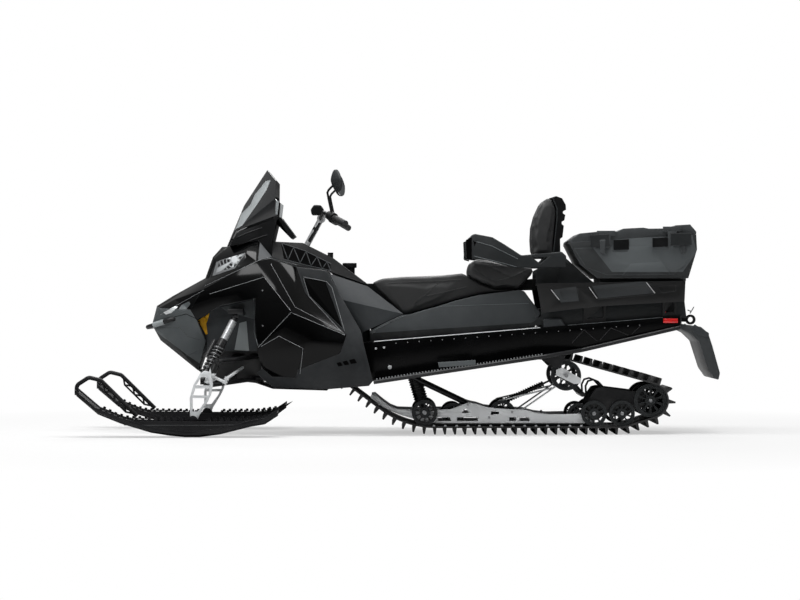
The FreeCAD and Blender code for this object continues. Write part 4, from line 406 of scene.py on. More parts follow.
# %% Two-tone finishes and painted shade
def cargo_plastic():
    # The chamfers round the raised field are painted darker than the field: painted shade on facets
    # that face forward and down, on a box of one plastic.
    net = Net("plastic_box")
    grain = net.cells(700.0)
    dust = net.dust()
    edge = net.edge_wear_and_glint(0.006)
    raised = [(590, 244), (600, 240), (692, 233), (697, 252), (683, 272), (612, 272)]
    field = net.inside(side_view(raised, 0.29))
    tone = net.mix(field, (0.019, 0.021, 0.022), (0.080, 0.089, 0.093))
    return net.finish(Base_Color=net.mix(dust * 0.15 + edge * 0.5, tone, (0.11, 0.12, 0.125)),
                      Roughness=0.42 + dust * 0.12, Specular_IOR_Level=0.35,
                      Normal=net.bump(grain, 0.4, 0.0004))


def edged_plastic(name, outlines, side, colour, other, pale, roughness):
    # A grained moulding whose outlined fields have another tone.
    net = Net(name)
    dust = net.dust()
    edge = net.edge_wear_and_glint(0.005)
    tone = net.mix(net.within(outlines, side), colour, other)
    return net.finish(Base_Color=net.mix(dust * 0.2 + edge * 0.4, tone, pale), Specular_IOR_Level=0.22,
                      Roughness=roughness + dust * 0.12 - edge * 0.15,
                      Normal=net.bump(net.cells(900.0), 0.35, 0.0004))


def rack_plastic():
    # Black rails with grey filler plates in their windows.
    net = Net("rack_black")
    edge = net.edge_wear_and_glint(0.003)
    windows = (
        [(552, 290), (576, 286.5), (579, 301), (561, 302.5)],
        [(592, 286), (645, 281), (655, 293), (599, 298.5)], )
    tone = net.mix(net.within(windows, 0.295), (0.004, 0.0042, 0.0045), (0.030, 0.033, 0.035))
    return net.finish(Base_Color=net.mix(edge * 0.6, tone, (0.05, 0.052, 0.055)),
                      Roughness=0.34 + net.noise(40.0) * 0.1, Specular_IOR_Level=0.35,
                      Normal=net.bump(net.cells(900.0), 0.3, 0.0004))


shock_foot = Vector((1.030, 0.404, 0.300))
shock_head = Vector((0.866, 0.290, 0.620))


def shock_metal():
    # One damper from its foot up: dark eye and spring, bright tube, dark eye.
    net = Net("shock_metal")
    line = (shock_head - shock_foot) / (shock_head - shock_foot).length_squared
    parts = [net.node("ShaderNodeSeparateXYZ", None, {0: net.place()}, axis) for axis in "XYZ"]
    outward = parts[1].calc("ABSOLUTE", parts[1])
    along = parts[0] * line.x + outward * line.y + parts[2] * line.z - shock_foot.dot(line)
    bright = (along > 0.63) * (1 - (along > 0.93))
    brushed = net.noise(60.0, 3.0, 0.6)
    return net.finish(Base_Color=net.mix(bright, (0.012, 0.012, 0.013), (0.52, 0.53, 0.54)),
                      Metallic=bright * 0.6, Roughness=0.22 + brushed * 0.12,
                      Normal=net.bump(brushed, 0.1, 0.0004))


def spindle_metal():
    # The casting is silver and the bearing tube on top of it is black.
    net = Net("spindle_metal")
    tube = net.inside(side_view([(208, 357), (224, 359), (221, 373.5), (211.5, 373.5)], 0.49))
    brushed = net.noise(40.0, 4.0, 0.6)
    edge = net.edge_wear_and_glint(0.003)
    silver = net.mix(edge * 0.5, (0.66, 0.68, 0.69), (0.82, 0.84, 0.85))
    return net.finish(Base_Color=net.mix(tube, silver, (0.010, 0.0105, 0.011)), Metallic=0.1,
                      Roughness=0.27 + brushed * 0.12, Specular_IOR_Level=0.35,
                      Normal=net.bump(brushed, 0.1, 0.0004))


def post_metal():
    # Two bright tubes with a dark gap between them and dark clamps across.
    net = Net("post_metal")
    gap = net.inside(side_view([(307.5, 241), (318.8, 222.5), (321.2, 223.5), (310.5, 243)], 0.0))
    collar = net.inside(side_view([(312, 226), (325, 231), (323.5, 233.5), (310, 228.5)], 0.0))
    dark = gap.calc("MAXIMUM", gap, collar)
    brushed = net.noise(40.0, 4.0, 0.6)
    return net.finish(Base_Color=net.mix(dark, (0.50, 0.51, 0.52), (0.008, 0.0085, 0.009)), Metallic=0.3,
                      Roughness=0.24 + brushed * 0.12, Normal=net.bump(brushed, 0.1, 0.0004))


nose_bands = [[(150, 333.5), (155.5, 333.2), (166, 340.5), (160, 345)],
              [(160, 341), (164.5, 339), (203, 367.5), (203, 377)]]
base_bands = [[(368, 333.2), (420, 329.9), (545, 321.4), (545, 335), (368, 345)]]
nose_finish = edged_plastic("nose_finish", nose_bands, 0.24, (0.084, 0.094, 0.098), (0.004, 0.0043, 0.0045),
                            (0.18, 0.195, 0.20), 0.44)
base_finish = edged_plastic("base_finish", base_bands, 0.23, (0.041, 0.0455, 0.048), (0.010, 0.011, 0.0115),
                            (0.10, 0.105, 0.11), 0.44)
plastic_box = cargo_plastic()
spindle_finish = spindle_metal()
post_finish = post_metal()
rack_black = rack_plastic()
shock_finish = shock_metal()
print("two-tone", plastic_box.name, rack_black.name, shock_finish.name, spindle_finish.name)

# %% [markdown]
# ## Mesh tools
# A CAD node comes as loose triangles with knife-sharp edges. Real mouldings and bent sheets have
# small radii that catch the light, so a copy of the node is merged, its flat faces are joined, and
# a Bevel modifier rounds the edges. The copy then replaces the node.

# %% Mesh tools
weld_distance = 0.00002
flat_angle = math.radians(1.0)
sharp_angle = math.radians(32)


def linked(name, data):
    made = bpy.data.objects.new(name, data)
    bpy.context.scene.collection.objects.link(made)
    return made


def paint(shown, material):
    shown.data.materials.clear()
    shown.data.materials.append(material)


def finished(name, mesh, material, body="chassis"):
    piece = linked(name, mesh)
    paint(piece, material)
    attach(piece, body)
    return piece


def baked(piece):
    # Turns the piece with its modifiers into a plain mesh.
    graph = bpy.context.evaluated_depsgraph_get()
    mesh = bpy.data.meshes.new_from_object(piece.evaluated_get(graph))
    old = piece.data
    piece.modifiers.clear()
    piece.data = mesh
    bpy.data.meshes.remove(old)
    return piece


def softened(piece, width, segments=1, angle=30):
    # Rounds the edges that bend by more than the angle, then bakes the piece.
    bevel = piece.modifiers.new("edges", "BEVEL")
    bevel.width = width
    bevel.segments = segments
    bevel.limit_method = "ANGLE"
    bevel.angle_limit = math.radians(angle)
    return baked(piece)


def as_mesh(name, build):
    mesh = bpy.data.meshes.new(name)
    build.to_mesh(mesh)
    build.free()
    return mesh


def merged_copy(node):
    build = bmesh.new()
    build.from_mesh(frame["nodes"][node].data)
    bmesh.ops.remove_doubles(build, verts=build.verts, dist=weld_distance)
    bmesh.ops.dissolve_limit(build, angle_limit=flat_angle, verts=build.verts, edges=build.edges)
    return as_mesh(node + "_form", build)


def slabs(name, outline, spans):
    # Flat plates with one (x, z) outline, each between two distances from the middle plane.
    build = bmesh.new()
    for span in spans:
        walls = [[build.verts.new((x, side, z)) for x, z in outline] for side in span]
        build.faces.new(walls[0])
        build.faces.new(walls[1])
        for turn in range(len(outline)):
            after = (turn + 1) % len(outline)
            build.faces.new((walls[0][turn], walls[0][after], walls[1][after], walls[1][turn]))
    bmesh.ops.recalc_face_normals(build, faces=build.faces[:])
    return as_mesh(name, build)


def rounded(node, material, width):
    piece = softened(linked(node + "_form", merged_copy(node)), width, segments=2, angle=25)
    piece.data.shade_smooth()
    piece.data.set_sharp_from_angle(angle=sharp_angle)
    paint(piece, material)
    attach(piece, body_of[node])
    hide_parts(node)


# %% Round the mouldings
# The side vents' hollow_black is their black mesh and painted shade of the opening behind it.
roundings = {
    "hood": (panel_black, 0.004), "side_panels": (panel_black, 0.004), "nose_cowl": (nose_finish, 0.005),
    "inner_fenders": (plastic_grey, 0.002), "footwells": (plastic_well, 0.004),
    "side_vents": (hollow_black, 0.002), "console": (plastic_black, 0.003),
    "dash_pod": (plastic_black, 0.004),
    "belly_pan": (plastic_black, 0.004), "fuel_tank": (plastic_grey, 0.0015),
    "fuel_cap": (plastic_black, 0.003), "headlights": (lamp_clear, 0.002),
    "windshield": (screen_smoke, 0.001), "seat_base": (base_finish, 0.006),
    "armrests": (plastic_dark, 0.006), "seat_frame": (plastic_dark, 0.002),
    "cargo_rack": (rack_black, 0.003), "tunnel_cover": (plastic_dark, 0.004),
    "cargo_box": (plastic_box, 0.005), "cargo_lid": (plastic_lid, 0.005),
    "tunnel": (tunnel_black, 0.001), "running_boards": (coated_black, 0.001),
    "tail_light": (lamp_red, 0.003), "reflectors": (lamp_red, 0.002),
    "snow_flap": (plastic_lid, 0.005), "tow_hitch": (coated_black, 0.002),
    "front_frame": (coated_black, 0.002), "control_arms": (coated_black, 0.002),
    "spindle_left": (spindle_finish, 0.0015), "spindle_right": (spindle_finish, 0.0015),
    "ski_left": (plastic_ski, 0.002), "ski_right": (plastic_ski, 0.002),
    "slide_rails": (rail_silver, 0.0015), "rail_brackets": (coated_black, 0.0015),
    "slide_shoes": (plastic_black, 0.001), "torque_arms": (coated_black, 0.001),
    "hand_controls": (plastic_black, 0.004),
}
for node, (material, width) in roundings.items():
    rounded(node, material, width)
print("rounded", len(roundings), "nodes")

# %% Finishes on nodes that keep their shape
plain_nodes = {
    "ski_loop_left": plastic_ski, "ski_loop_right": plastic_ski, "front_bumper": coated_black,
    "tie_rod_left": silver_coat, "tie_rod_right": silver_coat, "front_shocks": shock_finish,
    "track_shocks": coated_black, "steering_post": post_finish, "handlebar": coated_black,
    "grips": grip_rubber, "wheel_shafts": steel, "drive_axle": plastic_black,
    "track": track_rubber, "track_wheels": plastic_dark, "engine": engine_grey,
}
for node, material in plain_nodes.items():
    paint(frame["nodes"][node], material)
print("painted", len(plain_nodes), "nodes")

# %% [markdown]
# ## Growing small parts with Geometry Nodes
# Screws, beads, studs and stitches repeat or follow a line. Placing each by hand would be slow to
# change, so one tree per kind grows them from bare points or lines. Every size is a named input,
# and the grown result is baked to a plain mesh because instances don't leave Blender.

# %% Geometry Nodes class
def line_mesh(name, lines):
    mesh = bpy.data.meshes.new(name)
    corners = [point for line in lines for point in line]
    edges = []
    start = 0
    for line in lines:
        edges += [(start + step, start + step + 1) for step in range(len(line) - 1)]
        start += len(line)
    mesh.from_pydata(corners, edges, [])
    return mesh


class Grower(Net):
    def __init__(self, name, sizes):
        self.tree = bpy.data.node_groups.new(name, "GeometryNodeTree")
        self.tree.interface.new_socket(name="Lines", in_out="INPUT", socket_type="NodeSocketGeometry")
        for size in sizes:
            kind = "NodeSocketVector" if size == "Upward" else "NodeSocketFloat"
            self.tree.interface.new_socket(name=size, in_out="INPUT", socket_type=kind)
        self.tree.interface.new_socket(name="Finish", in_out="INPUT", socket_type="NodeSocketMaterial")
        self.tree.interface.new_socket(name="Piece", in_out="OUTPUT", socket_type="NodeSocketGeometry")
        self.given = self.tree.nodes.new("NodeGroupInput")

    def size(self, name):
        return Wave(self, self.given.outputs[name])

    def close(self, shape):
        real = self.node("GeometryNodeRealizeInstances", None, {0: shape})
        done = self.node("GeometryNodeSetMaterial", None, {"Geometry": real, "Material": self.size("Finish")})
        self.tree.links.new(done.socket, self.tree.nodes.new("NodeGroupOutput").inputs[0])

    def grow(self, name, lines, material, body="chassis", facing=(), **sizes):
        mesh = line_mesh(name, lines)
        if facing:
            normals = mesh.attributes.new("facing", "FLOAT_VECTOR", "POINT")
            for item, normal in zip(normals.data, facing):
                item.vector = normal
        piece = linked(name, mesh)
        growth = piece.modifiers.new("growth", "NODES")
        growth.node_group = self.tree
        sizes["Finish"] = material
        for item in self.tree.interface.items_tree:
            if item.in_out == "INPUT" and item.name in sizes:
                growth[item.identifier] = sizes[item.name]
        baked(piece)
        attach(piece, body)
        return piece


# %% Screw heads
screws = Grower("screws", ["Radius", "Height"])
head = screws.node("GeometryNodeMeshCone", None,
                   {"Vertices": 12, "Radius Top": screws.size("Radius") * 0.82,
                    "Radius Bottom": screws.size("Radius"), "Depth": screws.size("Height")})
top = Wave(screws, head.socket.node.outputs["Top"])
rim = screws.node("GeometryNodeExtrudeMesh", {"mode": "FACES"},
                  {"Mesh": head, "Selection": top, "Offset Scale": 0.0, "Individual": False})
top = Wave(screws, rim.socket.node.outputs["Top"])
narrowed = screws.node("GeometryNodeScaleElements", {"domain": "FACE"},
                       {"Geometry": rim, "Selection": top, "Scale": 0.55})
socket_cut = screws.node("GeometryNodeExtrudeMesh", {"mode": "FACES"},
                         {"Mesh": narrowed, "Selection": top, "Individual": False,
                          "Offset Scale": screws.size("Height") * -0.6})
facing = screws.node("GeometryNodeInputNamedAttribute", {"data_type": "FLOAT_VECTOR"}, {"Name": "facing"})
turn = screws.node("FunctionNodeAlignRotationToVector", {"axis": "Z"}, {"Vector": facing})
screws.close(screws.node("GeometryNodeInstanceOnPoints", None,
                         {"Points": screws.size("Lines"), "Instance": socket_cut, "Rotation": turn}))
print(screws.tree.name, len(screws.tree.nodes), "nodes")

# %% Beads along lines
beads = Grower("beads", ["Radius"])
line = beads.node("GeometryNodeMeshToCurve", None, {0: beads.size("Lines")})
round_edge = beads.node("GeometryNodeCurvePrimitiveCircle", None,
                        {"Resolution": 8, "Radius": beads.size("Radius")})
beads.close(beads.node("GeometryNodeCurveToMesh", None,
                       {"Curve": line, "Profile Curve": round_edge, "Fill Caps": True}))
print(beads.tree.name, len(beads.tree.nodes), "nodes")


# %% Studs and stitches along lines
def row_of(name, sides, taper):
    # Tapered studs set at an even pitch, turned along the line and upward.
    row = Grower(name, ["Pitch", "Length", "Width", "Height", "Upward"])
    path = row.node("GeometryNodeMeshToCurve", None, {0: row.size("Lines")})
    marks = row.node("GeometryNodeCurveToPoints", {"mode": "LENGTH"},
                     {"Curve": path, "Length": row.size("Pitch")})
    along = Wave(row, marks.socket.node.outputs["Tangent"])
    stud = row.node("GeometryNodeMeshCone", None,
                    {"Vertices": sides, "Radius Top": taper, "Radius Bottom": 0.7071, "Depth": 1.0})
    if sides == 4:
        stud = row.node("GeometryNodeTransform", None, {"Geometry": stud, "Rotation": (0, 0, math.pi / 4)})
    size = row.node("ShaderNodeCombineXYZ", None,
                    {"X": row.size("Length"), "Y": row.size("Width"), "Z": row.size("Height")})
    lengthways = row.node("FunctionNodeAlignRotationToVector", {"axis": "X"}, {"Vector": along})
    upright = row.node("FunctionNodeAlignRotationToVector", {"axis": "Z", "pivot_axis": "X"},
                       {"Rotation": lengthways, "Vector": row.size("Upward")})
    row.close(row.node("GeometryNodeInstanceOnPoints", None,
                       {"Points": marks, "Instance": stud, "Rotation": upright, "Scale": size}))
    return row


straight_up = (0.0, 0.0, 1.0)
studs = row_of("studs", 4, 0.5)
stitches = row_of("stitches", 6, 0.45)
print(studs.tree.name, stitches.tree.name)


# %% Lines and points
def both_sides(lines):
    return lines + [[Vector((p.x, -p.y, p.z)) for p in line] for line in lines]


def traced(points, skin, raise_by=0.0, step=4.0, side=0.2):
    # Follows the skin under a line of picture points.
    line = []
    for (x0, y0), (x1, y1) in zip(points, points[1:]):
        parts = max(1, round(math.hypot(x1 - x0, y1 - y0) / step))
        for part in range(parts + (x1 == points[-1][0] and y1 == points[-1][1])):
            share = part / parts
            place, normal = met(x0 + (x1 - x0) * share, y0 + (y1 - y0) * share, skin, side)
            line.append(place + normal * raise_by)
    return line


def bead(name, traces, skin, radius, material):
    lines = [traced(trace, skin) for trace in traces]
    beads.grow(name, both_sides(lines), material, Radius=radius).data.shade_smooth()


def fastened(name, places, skin, radius, height, material):
    found = both_sides([met(column, row, skin) for column, row in places])
    screws.grow(name, [[place] for place, normal in found], material,
                facing=[normal for place, normal in found], Radius=radius, Height=height)


# %% Patches that lie on a skin
outward_share = 0.6
patch_round_share = 0.3


def patch(name, outline, skin, thickness, material, step=3.0):
    build = bmesh.new()
    face = build.faces.new([build.verts.new((column, row, 0)) for column, row in outline])
    bmesh.ops.triangulate(build, faces=[face])
    for _ in range(6):
        long_edges = [edge for edge in build.edges if edge.calc_length() > step]
        if not long_edges:
            break
        bmesh.ops.subdivide_edges(build, edges=long_edges, cuts=1)
        bmesh.ops.triangulate(build, faces=build.faces[:])
    for vertex in build.verts:
        vertex.co = met(vertex.co.x, vertex.co.y, skin)[0]
    bmesh.ops.recalc_face_normals(build, faces=build.faces[:])
    if sum(face.normal.y for face in build.faces) < 0:
        bmesh.ops.reverse_faces(build, faces=build.faces[:])
    other = bmesh.ops.duplicate(build, geom=build.verts[:] + build.edges[:] + build.faces[:])["geom"]
    for item in other:
        if isinstance(item, bmesh.types.BMVert):
            item.co.y = -item.co.y
    bmesh.ops.reverse_faces(build, faces=[item for item in other if isinstance(item, bmesh.types.BMFace)])
    piece = finished(name, as_mesh(name, build), material)
    wall = piece.modifiers.new("wall", "SOLIDIFY")
    wall.thickness = thickness
    wall.offset = outward_share
    softened(piece, thickness * patch_round_share, angle=50)


print("patches are cut on a grid of 3 picture points")

# %% [markdown]
# ## Nose and side panels
# Lacquered panels meet in thin lines that catch the light; pale beads along them are painted
# highlights. The nose carries an amber marker, a bright trim, a grey one and panel gaps. They are
# thin beads and plates that lie on the panels, because cutting them into the shell would only add
# faces.

# %% Liner behind the nose
def side_plate(name, outline, inner, outer, material):
    # A flat plate on each side, between two distances from the middle plane.
    mesh = slabs(name, side_view(outline, outer), ((inner, outer), (-inner, -outer)))
    return softened(finished(name, mesh, material), (outer - inner) * 0.25)


liner = side_plate("nose_liner", [(196, 300), (216, 302), (216, 352), (196, 352)], inner=0.184, outer=0.190,
                   material=plastic_dark)
print("liner of", len(liner.data.polygons), "faces")

# %% Panel lines
shell = skin_of(liner, "hood", "side_panels", "nose_cowl", "footwells", "inner_fenders", "dash_pod",
                "console", "fuel_tank", "side_vents")
# Pale beads along the panel creases: painted highlights where the lacquered edges catch the light.
edge_highlight_lines = [
    [(205, 286), (263, 258.5), (270, 258.2), (297, 265)],
    [(209.5, 294), (264, 277), (290.5, 310.5)],
    [(271, 264), (295, 307), (342, 331.5)],
    [(291, 312.5), (345, 335)],
    [(258, 347.5), (291, 312.5)],
    [(261, 346.5), (279, 336.2), (303, 348.5), (300, 374)],
]
bead("panel_edge_highlights", edge_highlight_lines, shell, radius=0.0012, material=edge_glint)
gap_lines = [
    [(157, 327.8), (180, 327.8), (188, 336.5), (200, 340)],
    [(163, 342), (186, 356), (197, 351)],
]
bead("nose_gaps", gap_lines, shell, radius=0.0013, material=panel_black)
bead("nose_lip", [[(154, 322), (172, 317.5), (186, 314), (195, 318), (200, 322)]], shell, radius=0.0016,
     material=hollow_black)
# The hood lip line is a pale bead, a painted highlight.
bead("hood_lip_highlight", [[(160, 315), (180, 303.5), (204, 290)]], shell, radius=0.0011, material=edge_glint)
bead("arch_edge", [[(253.8, 299), (254.6, 318), (254.2, 332), (258, 346)]], shell, radius=0.0022,
     material=plastic_nose)
# The vent rim lines are pale beads, painted highlights.
vent_highlight_lines = [
    [(303.5, 277), (326.5, 281.5), (332, 287.5), (344.5, 331)],
    [(303.5, 278), (309, 296.5), (340, 330)],
]
bead("vent_edge_highlight", vent_highlight_lines, shell, radius=0.0012, material=edge_glint)
print("panel lines", len(edge_highlight_lines) + len(gap_lines))

# %% Marker, trims and louvres
patch("arch_panel", [(239.5, 323), (246.5, 321.2), (249, 351), (234.5, 350)], shell, thickness=0.003,
      material=strut_grey)
patch("arch_brow", [(221, 307.5), (254, 299.5), (253.8, 319), (243, 316), (228, 312)], shell,
      thickness=0.003, material=plastic_nose)
patch("side_marker", [(198, 320.4), (209.6, 313.2), (208.2, 318.5), (206.4, 323.6), (207.6, 334),
                      (206, 334.6)], shell, thickness=0.004, material=marker_amber)
patch("nose_trim", [(163.5, 312.5), (175, 306.3), (178, 307), (171.5, 313), (166, 314.5)], shell,
      thickness=0.003, material=silver_coat)
patch("nose_trim_rear", [(175, 314), (182, 305), (189, 301.5), (190.5, 304), (186, 310)], shell,
      thickness=0.003, material=plastic_nose)
# Each louvre slot is a near-black plate: painted shade inside the slot.
louvre_places = [[(336.5, 363), (340.5, 362), (343, 365.6), (338.5, 366.4)],
                 [(342.5, 361.6), (347, 360.5), (349.5, 364.4), (344.8, 365.2)],
                 [(349, 360), (354.5, 358.8), (357, 362.8), (351, 364)]]
for number, outline in enumerate(louvre_places, 1):
    patch(f"well_louvre_shade_{number}", outline, shell, thickness=0.004, material=hollow_black, step=2.0)
fastened("panel_screws", [(262.8, 325.8), (262.5, 290.5)], shell, radius=0.0045, height=0.003,
         material=edge_glint)
tube = skin_of("front_bumper")
sleeve_depth = 0.012
sleeve = [place - normal * sleeve_depth
          for place, normal in (met(153, 326.2, tube), met(163.5, 323.2, tube))]
beads.grow("bumper_sleeves", both_sides([sleeve]), strut_grey, Radius=0.0150)
print("marker, trims and", len(louvre_places), "louvres a side")

# %% [markdown]
# ## Console truss
# Below the smooth cover line the console is an open truss of thin ribs over a dark hollow. The
# shade in the hollow is painted as a matt black plate, and the ribs are beads, laid on the surface
# the picture shows.

# %% Console truss
patch("truss_hollow_shade", [(281, 243.5), (305, 251), (330, 263.5), (331, 270.5), (305, 264.5), (284, 259)],
      shell, thickness=0.002, material=hollow_black)
ribs = [[(282, 243.5), (305, 251), (331, 264)], [(284, 259.5), (305, 265), (331, 271)],
        [(282, 244), (288, 260), (293.5, 247.5), (300, 263), (306, 251.5), (311, 266), (317, 257),
         (322, 269), (327, 262), (330.5, 270.5)]]
bead("truss_ribs", ribs, shell, radius=0.0030, material=plastic_grey)
print("truss ribs", len(ribs))

# %% [markdown]
# ## Seats
# Both seats and the back pad are foam under vinyl: crowned faces, sides that pull in, and sewn seams
# along their upper edges. Each starts as a slightly shrunken copy of its solid, remeshed in small
# cells, and Blender's cloth blows it up again. A last smoothing calms its wrinkles, and the seams
# and stitches are laid on the finished pad.

# %% Padding
foam_pressure = 4.0
cloth_frames = 20
first_smoothing, last_smoothing = 6, 12


def padded(name, mesh, cell, inset, puff):
    piece = linked(name, mesh)
    limit = BVHTree.FromPolygons([v.co.copy() for v in mesh.vertices],
                                 [tuple(face.vertices) for face in mesh.polygons])
    remesh = piece.modifiers.new("cells", "REMESH")
    remesh.mode = "VOXEL"
    remesh.voxel_size = cell
    smooth = piece.modifiers.new("soft", "SMOOTH")
    smooth.iterations = first_smoothing
    shrink = piece.modifiers.new("inset", "DISPLACE")
    shrink.strength = -inset
    shrink.mid_level = 0.0
    baked(piece)
    start = [vertex.co.copy() for vertex in piece.data.vertices]
    cloth = piece.modifiers.new("cloth", "CLOTH")
    cloth.settings.use_pressure = True
    cloth.settings.uniform_pressure_force = foam_pressure
    cloth.settings.effector_weights.gravity = 0.0
    for step in range(1, cloth_frames + 1):
        bpy.context.scene.frame_set(step)
    baked(piece)
    bpy.context.scene.frame_set(1)
    for vertex, home in zip(piece.data.vertices, start):
        move = vertex.co - home
        if move.length > puff:
            vertex.co = home + move * (puff / move.length)
    calm = piece.modifiers.new("calm", "SMOOTH")
    calm.iterations = last_smoothing
    baked(piece)
    for vertex in piece.data.vertices:
        near, normal, face, reach = limit.find_nearest(vertex.co)
        over = (vertex.co - near).dot(normal)
        if over > 0:
            vertex.co -= normal * over
    finer = piece.modifiers.new("finer", "SUBSURF")
    finer.levels = finer.render_levels = 1
    baked(piece)
    piece.data.shade_smooth()
    return piece


def dressed(piece, node):
    paint(piece, vinyl_black)
    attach(piece, body_of[node])
    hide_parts(node)
    print(piece.name, len(piece.data.polygons), "faces")
    return piece


driver_form = padded("driver_pad", merged_copy("driver_seat"), cell=0.0075, inset=0.0025, puff=0.006)
driver = dressed(driver_form, "driver_seat")
passenger_form = padded("passenger_pad", merged_copy("passenger_seat"), cell=0.006, inset=0.003, puff=0.007)
passenger = dressed(passenger_form, "passenger_seat")

# %% Back pad and its shell
back_front = [(-0.707, 0.948), (-0.701, 1.031), (-0.704, 1.098), (-0.720, 1.160), (-0.748, 1.220),
              (-0.780, 1.260)]
back_seam = [(-0.812, 1.256), (-0.836, 1.200), (-0.836, 1.140), (-0.826, 1.040), (-0.817, 0.950)]
back_rear = [(-0.855, 0.948), (-0.853, 1.036), (-0.866, 1.046), (-0.873, 1.106), (-0.862, 1.116),
             (-0.862, 1.128), (-0.876, 1.136), (-0.881, 1.164), (-0.868, 1.173), (-0.869, 1.184),
             (-0.885, 1.192), (-0.883, 1.218), (-0.864, 1.253), (-0.832, 1.265), (-0.795, 1.253)]
pad_half, shell_half = 0.147, 0.140
back_block = slabs("back_pad", back_front + back_seam, [(-pad_half, pad_half)])
dressed(padded("back_pad", back_block, cell=0.0055, inset=0.004, puff=0.007), "backrest")
back_shell = softened(finished("back_shell", slabs("back_shell", back_seam + back_rear,
                                                   [(-shell_half, shell_half)]), plastic_black),
                      width=0.006, segments=2)
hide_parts("backrest")
piping_y, piping_back = 0.142, 0.001
piping_line = [[Vector((x - piping_back, side, z)) for x, z in back_seam] for side in (piping_y, -piping_y)]
beads.grow("back_piping", piping_line, plastic_dark, Radius=0.004)
print("back shell", len(back_shell.data.polygons), "faces")

# %% Seams and stitches
seat_seams = {
    "driver": (driver, [[(388, 283), (420, 281.5), (440, 281), (462, 279.5)], [(439, 282), (413, 306)],
                        [(412, 306), (420, 297.5), (440, 293), (466, 287)]]),
    "passenger": (passenger, [[(473, 268), (484, 276), (496, 281), (512, 277), (526, 270)],
                              [(478, 264), (500, 266), (524, 264)]]),
}
for name, (pad, seams) in seat_seams.items():
    skin = skin_of(pad)
    bead(name + "_piping", seams, skin, radius=0.0016, material=grip_rubber)
    rows = [traced([(column, row + 1.2) for column, row in seam], skin, 0.0004) for seam in seams]
    thread = stitches.grow(name + "_stitches", both_sides(rows), plastic_dark, Pitch=0.009, Length=0.006,
                           Width=0.0018, Height=0.0014, Upward=(0.0, 0.6, 0.8))
    print(name, "stitches", len(thread.data.polygons), "faces")

# %% [markdown]
# ## Armrests, tank and rack
# The armrests are hard shells with a dark block and a notch on their front end. The gaps that the
# solids leave between console, tank and seat are closed by dark liners inside. The tank liner also
# reaches over the seat's front, where its dark plate is painted shade.

# %% Armrest parts and liners
# The tank liner closes the gap between tank and seat, and its top over the seat's front is a dark plate of
# painted shade.
side_plate("tank_liner_and_seat_shade", [(326, 268.5), (366, 283.5), (376, 283.5), (398, 306), (406, 317), (372, 333),
                          (360, 300)], inner=0.100, outer=0.106, material=plastic_black)
side_plate("seat_liner", [(404, 303), (430, 291), (466, 284), (500, 282), (540, 278), (536, 290),
                          (500, 291), (466, 296), (436, 302), (408, 314)], inner=0.100, outer=0.106,
           material=plastic_black)
base_skin = skin_of("seat_base", "fuel_tank")
bead("base_creases", [[(372, 334), (402, 315)], [(538, 322), (532, 305), (524, 290)]], base_skin,
     radius=0.0014, material=panel_black)
# Pale lines along the upper edge of the seat base: painted highlights.
bead("base_highlight_lines", [[(436, 306.4), (480, 305), (529, 303.4)], [(373, 330.5), (402, 316.8), (430, 306.8)]],
     base_skin, radius=0.0010, material=plastic_nose)
side_plate("base_notches", [(529, 324.5), (541.5, 315.5), (542, 325), (530, 326.5)], inner=0.2345,
           outer=0.2375, material=plastic_dark)
side_plate("armrest_blocks", [(465.8, 240), (471.8, 237.2), (471.8, 260), (466.6, 258.5)], inner=0.2860,
           outer=0.2915, material=hollow_black)
side_plate("armrest_notches", [(473, 240.5), (477, 240.8), (474.5, 246.5)], inner=0.2860, outer=0.2912,
           material=hollow_black)
rests = skin_of("armrests", "seat_frame")
# Pale lines along the armrest edges: painted highlights.
bead("armrest_highlight_lines", [[(474, 241), (492, 246), (518, 259)], [(474, 256), (500, 262.5), (521, 268)]], rests,
     radius=0.0016, material=plastic_nose)
side_plate("seat_brackets", [(558, 262), (569, 262), (592, 281), (597, 285), (558, 285)], inner=0.196,
           outer=0.204, material=plastic_dark)
side_plate("tail_plates", [(674, 301), (684.5, 301), (686.5, 317.5), (674, 318)], inner=0.236, outer=0.242,
           material=plastic_dark)
side_plate("tunnel_plates", [(543.6, 318.8), (561, 318.4), (567.5, 328), (543.6, 329.5)], inner=0.236,
           outer=0.262, material=plastic_grey)
rack_skin = skin_of("cargo_rack")
strut_lines = [[(551, 289.5), (559.3, 300)], [(589, 287), (597, 298.4)], [(646.4, 282.3), (655, 293.3)]]
bead("rack_struts", strut_lines, rack_skin, radius=0.0013, material=silver_coat)
print("armrest blocks, liners and rack struts")

# %% Lid latches
lid_skin = skin_of("cargo_lid", "cargo_box")


def plate_on(name, outline, skin, sink, proud, material, body):
    # A flat plate on the left side, set against the outermost place under its corners.
    outer = max(met(column, row, skin)[0].y for column, row in outline)
    mesh = slabs(name, side_view(outline, outer), [(outer - sink, outer + proud)])
    softened(finished(name, mesh, material, body), (sink + proud) * 0.2)


latch = ("latch", "cargo_lid", plastic_dark, 0.004)
hook = ("hook", "cargo_lid", plastic_lid, 0.009)
recess = ("recess", "cargo_box", plastic_black, 0.001)
plate_sink = 0.004
lid_plates = [(latch, [(590, 235), (609, 234), (609.5, 246.5), (590.5, 247.5)]),
              (latch, [(670.5, 233), (691, 233), (691.5, 245), (671, 246)]),
              (hook, [(599.5, 240), (605.5, 239.7), (605, 253.5), (600.5, 254)]),
              (hook, [(680, 239), (686, 238.7), (685.5, 253.5), (681, 254)]),
              (recess, [(613.5, 240), (629, 239), (629, 249.5), (613.5, 250)]),
              (recess, [(652.5, 238), (668, 237.3), (668, 246.5), (652.5, 247.3)])]
for number, ((kind, node, finish, proud), outline) in enumerate(lid_plates, 1):
    plate_on(f"lid_{kind}_{number}", outline, lid_skin, plate_sink, proud, finish, body_of[node])
print(len(lid_plates), "plates on the lid and the box")


